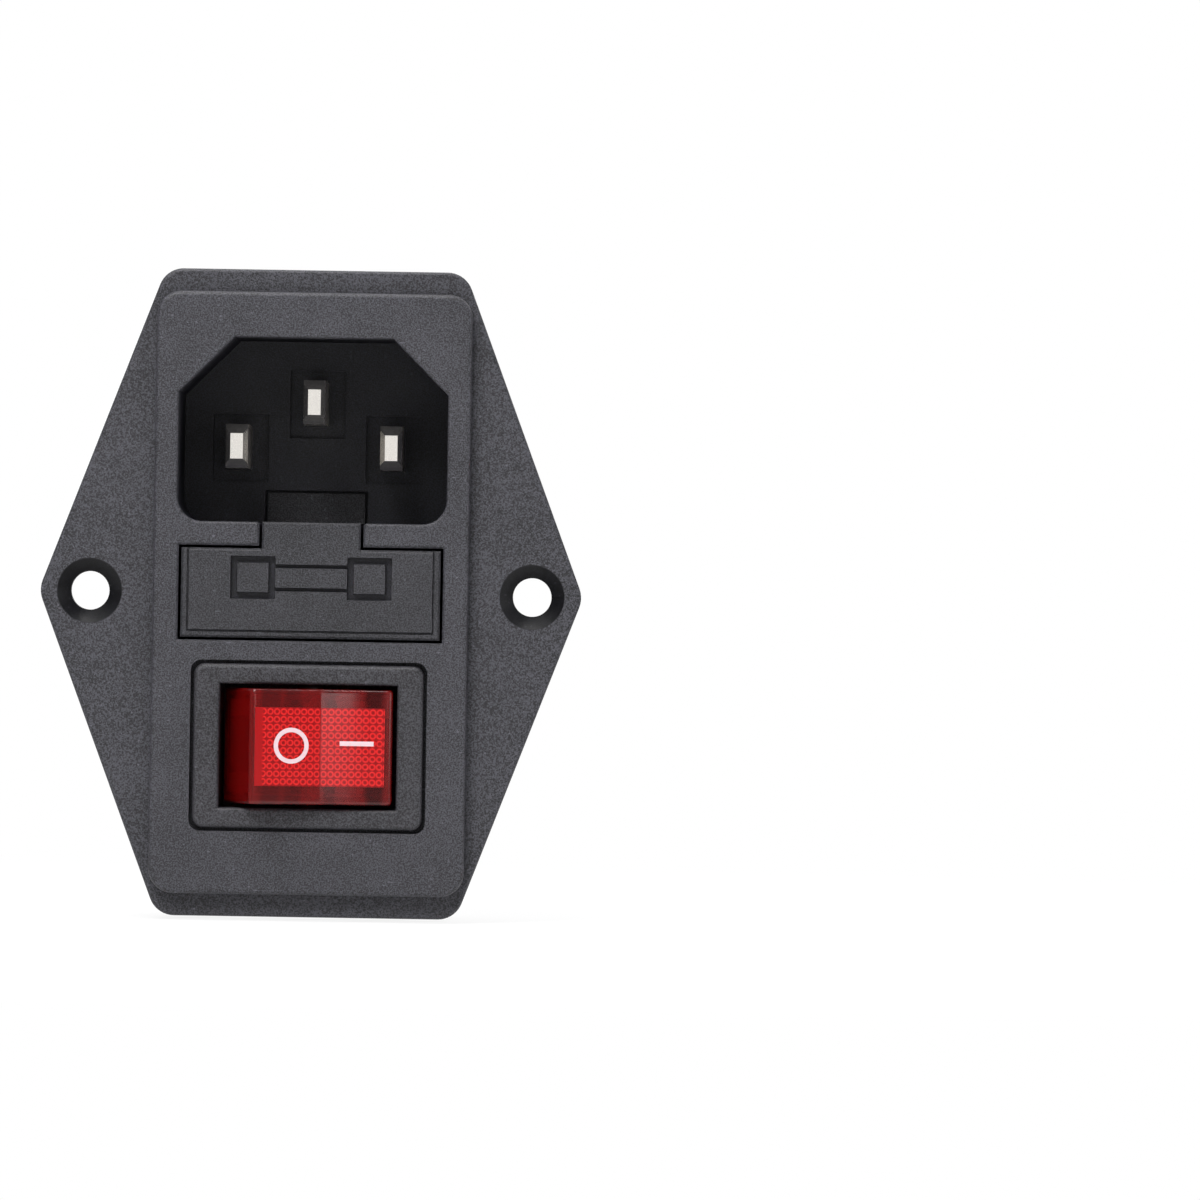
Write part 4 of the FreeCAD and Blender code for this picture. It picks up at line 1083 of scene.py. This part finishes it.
@dataclass
class Shell:
    """The moulded housing with its pins, plates, rivets and strap. Sizes are in millimetres.

    Attributes:
        back: The place along Y of the plain back face.
        rib: The place along Y of the ribs' tops.
        earth: The middle of the raised earth symbol, as X and Z.
        earth_wide: The diameter of the earth symbol.
        earth_stem: The heights of the symbol's stem at its top and foot, from the middle.
        earth_bars: Half the length of each of the symbol's bars, and its height from the middle.
        round_points: The number of points round the symbol.
        letters: The letters beside the terminals, each with its middle as X and Z.
        letter_high: The height of a letter.
        letter_half: Half the width of a letter, as a share of its height.
        line: The width of a raised line.
        relief: The height of a raised line.
    """

    back: float = 14.8
    rib: float = 17.5
    earth: Pair = (2.4, 22.7)
    earth_wide: float = 3.0
    earth_stem: Pair = (0.85, 0.1)
    earth_bars: tuple[Pair, ...] = ((0.85, 0.1), (0.55, -0.32), (0.25, -0.74))
    round_points: int = 40
    letters: tuple[tuple[str, Pair], ...] = (("N", (12.1, 16.6)), ("L", (-12.1, 16.6)))
    letter_high: float = 1.5
    letter_half: float = 0.33
    line: float = 0.26
    relief: float = 0.14

    def build(self) -> None:
        """Raises the earth symbol and the terminals' letters on the back."""
        self._raise("earth_symbol", self._earth_paths(), self.back)
        for letter, middle in self.letters:
            self._raise(f"letter_{letter.lower()}", self._letter_paths(letter, middle), self.rib)

    def dress(self) -> None:
        """Gives the housing and its metal pieces their finishes."""
        dress_nodes(Palette.HOUSING, "housing")
        for finish in (Palette.LINE_PIN, Palette.NEUTRAL_PIN, Palette.EARTH_PIN):
            dress_nodes(finish, finish.name)
        dress_nodes(Palette.TIN, "neutral_terminal", "earth_terminal", "load_terminal", "link_strap")
        dress_nodes(Palette.TIN, "line_fuse_clip", "load_fuse_clip")
        dress_nodes(Palette.LINE_RIVET, "line_clip_rivet")
        dress_nodes(Palette.LOAD_RIVET, "load_clip_rivet")

    def _raise(self, name: str, paths: Sequence[Line], level: float) -> None:
        """Raises lines on a face that looks to the back.

        Args:
            name: The piece's name.
            paths: The lines as X and Z, each with whether it is closed.
            level: The place of the face along Y.
        """
        points, faces = join([stroke(path, self.line, self.relief, closed) for path, closed in paths])
        placed = np.stack([points[:, 0], level + points[:, 2], points[:, 1]], axis=1)
        make_piece(name, placed, faces, Palette.HOUSING, Body.MODULE)

    def _earth_paths(self) -> list[Line]:
        """Gives the ring, stem and three bars of the earth symbol.

        Returns:
            The lines.
        """
        x, z = self.earth
        turn = np.linspace(0.0, 2 * math.pi, self.round_points, endpoint=False)
        radius = self.earth_wide / 2
        ring = np.stack([x + radius * np.cos(turn), z + radius * np.sin(turn)], axis=1)
        stem = np.array([[x, z + high] for high in self.earth_stem])
        bars = [np.array([[x - half, z + high], [x + half, z + high]]) for half, high in self.earth_bars]
        return [(ring, True), (stem, False), *((bar, False) for bar in bars)]

    def _letter_paths(self, letter: str, middle: Pair) -> list[Line]:
        """Gives the lines of a letter as it reads from behind, where X runs to the left.

        Args:
            letter: N or L.
            middle: The letter's middle as X and Z.

        Returns:
            The lines.
        """
        strokes = {
            "N": [((-1, -1), (-1, 1)), ((-1, 1), (1, -1)), ((1, -1), (1, 1))],
            "L": [((-1, 1), (-1, -1)), ((-1, -1), (1, -1))],
        }[letter]
        scale = np.array([-self.letter_high * self.letter_half, self.letter_high / 2])
        return [(np.array(ends, float) * scale + np.array(middle), False) for ends in strokes]


@dataclass
class Drawer:
    """The fuse drawer's face plate with the sunk fuse sign, and the fuse inside it.

    Sizes are in millimetres.

    Attributes:
        field: The sunk field's limits: low X, high X, low Z and high Z.
        face: The place of the plate's face along Y.
        groove: The width of the groove round the plate.
        groove_deep: The depth of that groove.
        sign: The middle of the fuse sign, as X and Z.
        sign_long: The sign's length.
        square: The outer width and height of each end square.
        square_line: The width of the squares' lines.
        bar_high: The outer height of the bar between the squares.
        bar_line: The width of the bar's lines.
        sink: The depth of the sign.
        slope: The width of the slope at the edge of a line or groove.
        stem: Half the width of the tongue's stem, where the plate's top edge runs on.
        edge: The bevel of the plate's top edge.
        recess: The depth of the sunk field that the plate fills.
        past: How far past the top edge the plate's box runs, so that the top has no groove.
        stops: The number of the grid's even places along each axis.
    """

    field: Box = (-11.2, 11.2, -3.54, 4.03)
    face: float = -4.4
    groove: float = 0.17
    groove_deep: float = 0.26
    sign: Pair = (0.04, 1.4)
    sign_long: float = 14.5
    square: Pair = (3.97, 3.8)
    square_line: float = 0.54
    bar_high: float = 2.37
    bar_line: float = 0.27
    sink: float = 0.6
    slope: float = 0.07
    stem: float = 4.45
    edge: float = 0.2
    recess: float = 0.8
    past: float = 1.0
    stops: int = 24

    def build(self) -> None:
        """Fills the sunk field with the plate.

        The plate's face is a height over X and Z. The height drops by the sink inside each line of the
        sign, and by the groove's depth round the plate. The grid's lines stand close together at each
        line's edges and wide apart elsewhere. Beside the stem the top edge is bevelled, and a last row of
        points goes down to the field's floor.
        """
        lines = self._lines()
        low_x, high_x, low_z, high_z = self.field
        plate = (low_x + self.groove, high_x - self.groove, low_z + self.groove, high_z + self.past)
        edges_x = [e for box in (*lines, plate) for e in box[:2]]
        edges_z = [e for box in lines for e in box[2:]] + [plate[2]]
        x = self._stops(low_x, high_x, edges_x + [-self.stem, self.stem])
        z = self._stops(low_z, high_z, edges_z + [high_z - self.edge])
        wide, tall = np.meshgrid(x, z)
        depth = self.groove_deep * (1.0 - self._inside(wide, tall, plate))
        for box in lines:
            depth = np.maximum(depth, self.sink * self._inside(wide, tall, box))
        depth = np.maximum(depth, np.where(np.abs(wide) > self.stem, tall - high_z + self.edge, 0.0))
        points = np.stack([wide, self.face + depth, tall], axis=2)
        foot = points[-1:].copy()
        foot[..., 1] = self.face + self.recess
        points = np.concatenate([points, foot])
        faces = grid_faces(*points.shape[:2])
        # The plate's finish paints shade into the sign's sunk lines.
        make_piece("drawer_face", points.reshape(-1, 3), faces, Palette.DRAWER_FACE_GROOVE_SHADE, Body.DRAWER)

    def dress(self) -> None:
        """Gives the drawer and the fuse their finishes."""
        dress_nodes(Palette.DRAWER, "fuse_drawer")
        dress_nodes(Palette.GLASS, "fuse_tube")
        dress_nodes(Palette.SPRING, "fuse_wire")
        dress_nodes(Palette.CAP, "fuse_cap_left", "fuse_cap_right")

    def _lines(self) -> list[Box]:
        """Gives the sign's lines: four round each end square and two between the squares.

        Returns:
            The lines as boxes: low X, high X, low Z and high Z.
        """
        x, z = self.sign
        wide, high = self.square
        line = self.square_line
        boxes = []
        for start in (x - self.sign_long / 2, x + self.sign_long / 2 - wide):
            low, top = z - high / 2, z + high / 2
            boxes.append((start, start + line, low, top))
            boxes.append((start + wide - line, start + wide, low, top))
            boxes.append((start, start + wide, low, low + line))
            boxes.append((start, start + wide, top - line, top))
        reach = self.sign_long / 2 - wide
        half = self.bar_line / 2
        for middle in (z - self.bar_high / 2 + half, z + self.bar_high / 2 - half):
            boxes.append((x - reach, x + reach, middle - half, middle + half))
        return boxes

    def _stops(self, low: float, high: float, edges: Sequence[float]) -> np.ndarray:
        """Gives the grid's places along one axis, with a close pair at each edge.

        Args:
            low: The first place.
            high: The last place.
            edges: The places of the edges.

        Returns:
            The places in order.
        """
        close = [e + s for e in edges for s in (-self.slope / 2, self.slope / 2)]
        places = np.unique(np.round([low, high, *close, *np.linspace(low, high, self.stops)], 4))
        return places[(places >= low) & (places <= high)]

    def _inside(self, x: np.ndarray, z: np.ndarray, box: Box) -> np.ndarray:
        """Gives 1 inside a box and 0 outside it, with a narrow slope at its edges.

        Args:
            x: The points' places along X.
            z: The points' places along Z.
            box: The box.

        Returns:
            The share at each point.
        """
        near = np.minimum(np.minimum(x - box[0], box[1] - x), np.minimum(z - box[2], box[3] - z))
        return np.clip(near / self.slope + 0.5, 0.0, 1.0)


@dataclass
class Rocker:
    """The clear red rocker with its ringed window and its two printed signs. Sizes are in millimetres.

    Attributes:
        top: The rocker's top.
        window: The window's ends along the rocker and half its width.
        window_lift: The height of the window over the top.
        window_grid: The number of the window's points along and across.
        print_lift: The height of the print over the top.
        ring: The place along the rocker, outer diameter and line width of the off sign.
        ring_up: How far the off sign lies above the rocker's middle line.
        ring_points: The number of points round the off sign.
        dash: The place along the rocker, length and line width of the on sign.
        dash_up: How far the on sign lies above the rocker's middle line.
        dash_points: The number of points along the on sign.
        line_points: The number of points across a sign's line.
    """

    top: RockerTop = RockerTop()
    window: Triple = (-6.1, 5.75, 3.55)
    window_lift: float = 0.02
    window_grid: tuple[int, int] = (46, 29)
    print_lift: float = 0.045
    ring: Triple = (-2.72, 3.24, 0.4)
    ring_up: float = 0.1
    ring_points: int = 49
    dash: Triple = (3.25, 3.05, 0.42)
    dash_up: float = 0.35
    dash_points: int = 9
    line_points: int = 3

    def build(self) -> None:
        """Lays the window and the signs on the rocker's top.

        The off sign is a ring, worked out from an angle and a radius, and the on sign is a rectangle.
        """
        self._build_window()
        middle, outer, line = self.ring
        turn = np.linspace(0.0, 2 * math.pi, self.ring_points)
        around, out = np.meshgrid(turn, np.linspace(outer / 2 - line, outer / 2, self.line_points))
        along = middle + out * np.cos(around)
        across = self.ring_up + out * np.sin(around)
        self._lay("sign_off", along, across, self.print_lift, Palette.PRINT)
        middle, long, line = self.dash
        length = np.linspace(middle - long / 2, middle + long / 2, self.dash_points)
        along, across = np.meshgrid(length, np.linspace(-line / 2, line / 2, self.line_points))
        self._lay("sign_on", along, across + self.dash_up, self.print_lift, Palette.PRINT)

    def dress(self) -> None:
        """Gives the rocker and its plungers and springs their finishes."""
        dress_nodes(Palette.ROCKER, "rocker")
        dress_nodes(Palette.NYLON, "upper_plunger", "lower_plunger")
        dress_nodes(Palette.SPRING, "upper_spring", "lower_spring")

    def _build_window(self) -> None:
        """Lays the window over both halves of the top and gives it a map in millimetres."""
        low, high, half = self.window
        columns, rows = self.window_grid
        x = np.unique(np.concatenate([np.linspace(low, high, columns), [0.0]]))
        along, across = np.meshgrid(x, np.linspace(-half, half, rows))
        made = self._lay("rocker_window", along, across, self.window_lift, Palette.WINDOW)
        spread = made.data.uv_layers.new(name=WINDOW_MAP)
        index = np.empty(len(made.data.loops), np.int32)
        made.data.loops.foreach_get("vertex_index", index)
        flat = np.stack([along.ravel(), across.ravel()], axis=1)[index]
        spread.data.foreach_set("uv", flat.astype(np.float32).ravel())

    def _lay(
        self,
        name: str,
        along: np.ndarray,
        across: np.ndarray,
        lift: float,
        finish: Finish,
    ) -> bpy.types.Object:
        """Lays a grid on the rocker's top.

        The top is a shallow V: its height over the pivot is the rise less the dip, and grows evenly to
        the full rise at both ends. Each half is hollowed by a parabola that is the sag deep, and is lifted
        by the sag, so that the hollow's floor lies on the top. The whole is then turned about the pivot by
        the rest angle.

        Args:
            name: The piece's name.
            along: The places along the rocker.
            across: The places across it, from its middle.
            lift: The height over the top.
            finish: The piece's finish.

        Returns:
            The object.
        """
        top = self.top
        out = np.abs(along) / top.half
        hollow = top.sag * (1.0 - PARABOLA * out * (1.0 - out))
        height = top.rise - top.dip * (1.0 - out) + hollow + lift
        ahead, turn = math.cos(top.angle), math.sin(top.angle)
        x = top.pivot[0] + along * ahead + height * turn
        y = top.pivot[1] + along * turn - height * ahead
        points = np.stack([x, y, top.pivot[2] + across], axis=2)
        return make_piece(name, points.reshape(-1, 3), grid_faces(*along.shape), finish, Body.ROCKER)


@dataclass
class Switch:
    """The switch case with its terminals, levers, lamp and leads. Sizes are in millimetres.

    Attributes:
        joints: The name and the middle of each solder joint on a terminal's ear.
        joint_size: Half the length of a joint along each axis.
        wobble: How far a joint's radius wanders round it and down it, as shares of the radius.
        joint_grid: The number of a joint's points around and down.
    """

    joints: tuple[tuple[str, Triple], ...] = (
        ("solder_upper", (0.95, 15.05, -9.6)),
        ("solder_lower", (0.95, 15.05, -18.0)),
    )
    joint_size: Triple = (0.48, 0.46, 0.6)
    wobble: Pair = (0.1, 0.07)
    joint_grid: tuple[int, int] = (29, 15)

    def build(self) -> None:
        """Sets a solder joint on each supply terminal's ear.

        A joint is a ball whose radius wanders with both angles, drawn out by the joint's size.
        """
        turns, drops = self.joint_grid
        around, down = np.meshgrid(np.linspace(0.0, 2 * math.pi, turns), np.linspace(0.0, math.pi, drops))
        wander = 1.0 + self.wobble[0] * np.sin(3 * around) * np.sin(down) ** 2
        wander += self.wobble[1] * np.cos(2 * around + 1.0) * np.sin(2 * down)
        flat = np.sin(down)
        ball = np.stack([flat * np.cos(around), flat * np.sin(around), np.cos(down)], axis=2)
        faces = grid_faces(*around.shape)
        for name, middle in self.joints:
            points = np.array(middle) + ball * wander[..., None] * np.array(self.joint_size)
            make_piece(name, points.reshape(-1, 3), faces, Palette.SOLDER, Body.MODULE, smooth=True)

    def dress(self) -> None:
        """Gives the switch's nodes their finishes."""
        dress_nodes(Palette.SWITCH, "switch_case")
        dress_nodes(Palette.TIN, "upper_feed_terminal", "lower_feed_terminal")
        dress_nodes(Palette.TIN, "upper_contact_terminal", "lower_contact_terminal")
        dress_nodes(Palette.LEVER, "upper_lever", "lower_lever")
        dress_nodes(Palette.GLASS, "neon_lamp")
        dress_nodes(Palette.TIN, "lamp_lead_upper", "lamp_lead_lower", "resistor_lead")
        dress_nodes(Palette.SLEEVE, "lead_sleeve_upper", "lead_sleeve_lower")
        dress_nodes(Palette.RESISTOR, "ballast_resistor")


@dataclass(frozen=True)
class Lamp:
    """A square soft lamp that faces the object.

    Attributes:
        name: The lamp's name.
        place: Its place in millimetres.
        size: Its width in millimetres.
        power: Its power in watts.
    """

    name: str
    place: Triple
    size: float
    power: float

    def build(self) -> None:
        """Adds the lamp to the scene."""
        data = bpy.data.lights.new(self.name, "AREA")
        data.size = self.size * MM
        data.energy = self.power
        lamp = bpy.data.objects.new(self.name, data)
        at = np.array(self.place) * MM
        way = -at / np.linalg.norm(at)
        lamp.location = at
        lamp.rotation_euler = (math.acos(-way[2]), 0.0, math.atan2(way[1], way[0]) - math.pi / 2)
        bpy.context.scene.collection.objects.link(lamp)


@dataclass
class Studio:
    """Pale floor, soft lamps, white surround and the camera. Sizes are in millimetres.

    Attributes:
        centre: The place, as X and Z, that the camera looks at.
        distance: The camera's distance from the flange.
        lens: The camera's focal length.
        sensor: The width of the camera's sensor.
        roll: The camera's roll in degrees.
        view_end: The farthest that the camera sees, in metres.
        floor: The floor's height.
        floor_half: Half the floor's width.
        floor_tones: The floor's two tones.
        floor_speck: The size of the patches that they make.
        gloss_reach: In gloss, how far from the object the floor is fully dark and where it is still white.
        gloss_back: In gloss, the places along Y where the floor is fully dark and where it is still white.
        gloss_dark: The floor's dark tone in gloss.
        shade: The share of white that the floor keeps close to the object, where its shadow shows.
        shade_reach: How far from the object that share starts to grow and where it is whole.
        sky_tones: The sky's colours, low and high.
        sky_rise: The heights of a direction between which one changes to the other.
        back_card: The directions along Y between which the dark card behind comes up.
        back_share: The strength of that card.
        back_tone: Its tone.
        front_card: The front card's middle along X, and half its width where it is full and where it ends.
        front_ahead: The directions along Y between which the front card comes up.
        front_high: The heights of a direction where the front card ends and where it is full.
        front_tone: Its tone.
        lamps: The lamps.
    """

    centre: Pair = (26.14, -0.12)
    distance: float = 1000.0
    lens: float = 331.0
    sensor: float = 36.0
    roll: float = -0.947
    view_end: float = 20.0
    floor: float = -29.6
    floor_half: float = 3000.0
    floor_tones: Pair = (0.88, 0.92)
    floor_speck: float = 40.0
    gloss_reach: Pair = (500.0, 300.0)
    gloss_back: Pair = (120.0, 20.0)
    gloss_dark: float = 0.26
    shade: float = 0.86
    shade_reach: Pair = (60.0, 220.0)
    sky_tones: tuple[Color, Color] = ((0.22, 0.22, 0.23), (0.4, 0.4, 0.41))
    sky_rise: Pair = (-0.3, 0.8)
    back_card: Pair = (0.55, 0.9)
    back_share: float = 0.8
    back_tone: float = 0.03
    front_card: Triple = (0.145, 0.03, 0.045)
    front_ahead: Pair = (-0.9, -0.95)
    front_high: Pair = (0.2, 0.15)
    front_tone: float = 0.01
    lamps: tuple[Lamp, ...] = (
        Lamp("key", (-120.0, -310.0, 360.0), 220.0, 2.6),
        Lamp("front", (0.0, -1250.0, 20.0), 300.0, 0.3),
        Lamp("strip", (256.0, -985.0, -28.0), 142.0, 0.15),
        Lamp("fill", (820.0, -420.0, 120.0), 620.0, 2.0),
        Lamp("top", (40.0, 60.0, 950.0), 520.0, 5.0),
        Lamp("rear", (330.0, 820.0, 560.0), 600.0, 5.4),
    )

    def build(self) -> None:
        """Builds floor, world, lamps and camera."""
        self._build_floor()
        self._build_world()
        for lamp in self.lamps:
            lamp.build()
        self._add_camera()
        LOG.info("built the studio")

    def _build_floor(self) -> None:
        """Builds the floor, a single square face."""
        half = self.floor_half * MM
        level = self.floor * MM
        corners = [(-half, -half, level), (half, -half, level), (half, half, level), (-half, half, level)]
        mesh = bpy.data.meshes.new("floor")
        mesh.from_pydata(corners, [], [(0, 1, 2, 3)])
        paint = bpy.data.materials.new("floor_white")
        paint.use_nodes = True
        self._paint_floor(Graph(paint.node_tree))
        mesh.materials.append(paint)
        made = bpy.data.objects.new("floor", mesh)
        bpy.context.scene.collection.objects.link(made)

    def _paint_floor(self, graph: Graph) -> None:
        """Draws the floor's material.

        It is white to the camera and keeps a share of the object's shadow. In gloss it is white near the
        front of the object, and dark farther off and behind.

        Args:
            graph: The material's nodes.
        """
        place = graph.place()
        patches = graph.mix(graph.noise(place, self.floor_speck), *(grey(t) for t in self.floor_tones))
        lit = graph.node("ShaderNodeBsdfDiffuse", inputs={"Color": patches})
        x, y, _ = graph.millimetres(place)
        reach = (x * x + y * y) ** 0.5
        ray = graph.node("ShaderNodeLightPath")
        gloss = graph.value(ray, "Is Glossy Ray")
        plain = graph.value(ray, "Is Camera Ray") + graph.value(ray, "Is Transmission Ray")
        near = reach.step(*self.gloss_reach) * y.step(*self.gloss_back)
        color = graph.mix(gloss, WHITE, graph.mix(near, grey(self.gloss_dark), WHITE))
        glow = graph.node("ShaderNodeEmission", inputs={"Color": color, "Strength": 1.0})
        seen = (plain + gloss) * (self.shade + reach.step(*self.shade_reach) * (1.0 - self.shade))
        both = graph.node("ShaderNodeMixShader", inputs={0: seen, 1: lit.outputs[0], 2: glow.outputs[0]})
        graph.node("ShaderNodeOutputMaterial", inputs={"Surface": both.outputs[0]})

    def _build_world(self) -> None:
        """Builds the surround: white where it is seen, and a soft sky for light with two dark cards.

        One card is behind. The other stands in front, a little to the right, for the rocker's right end.
        """
        world = bpy.data.worlds.new("surround")
        world.use_nodes = True
        graph = Graph(world.node_tree)
        way = graph.node("ShaderNodeTexCoord").outputs["Generated"]
        right, behind, up = graph.axes(way)
        sky = graph.mix(up.step(*self.sky_rise), *self.sky_tones)
        sky = graph.mix(behind.step(*self.back_card) * self.back_share, sky, grey(self.back_tone))
        middle, full, end = self.front_card
        card = abs(right - middle).step(end, full) * behind.step(*self.front_ahead)
        card = card * abs(up).step(*self.front_high)
        sky = graph.mix(card, sky, grey(self.front_tone))
        ray = graph.node("ShaderNodeLightPath")
        tone = graph.mix(graph.value(ray, "Is Camera Ray"), sky, WHITE)
        ground = graph.node("ShaderNodeBackground", inputs={"Color": tone, "Strength": 1.0})
        graph.node("ShaderNodeOutputWorld", inputs={"Surface": ground.outputs[0]})
        bpy.context.scene.world = world

    def _add_camera(self) -> None:
        """Adds the camera, square to the front and with a small roll, as in the photo."""
        data = bpy.data.cameras.new("camera")
        data.sensor_width = self.sensor
        data.lens = self.lens
        data.clip_end = self.view_end
        camera = bpy.data.objects.new("camera", data)
        camera.location = (self.centre[0] * MM, -self.distance * MM, self.centre[1] * MM)
        camera.rotation_euler = (math.pi / 2, math.radians(self.roll), 0.0)
        bpy.context.scene.collection.objects.link(camera)
        bpy.context.scene.camera = camera


def main() -> None:
    """Builds and dresses the module in order, then the studio."""
    logging.basicConfig(level=logging.INFO, format="%(name)s: %(message)s")
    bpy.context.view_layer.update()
    for part in (Shell(), Drawer(), Rocker(), Switch()):
        part.build()
        part.dress()
        LOG.info("finished %s", type(part).__name__)
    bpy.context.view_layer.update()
    Studio().build()
    bpy.context.scene.view_settings.view_transform = "Standard"


if __name__ == "__main__":
    main()
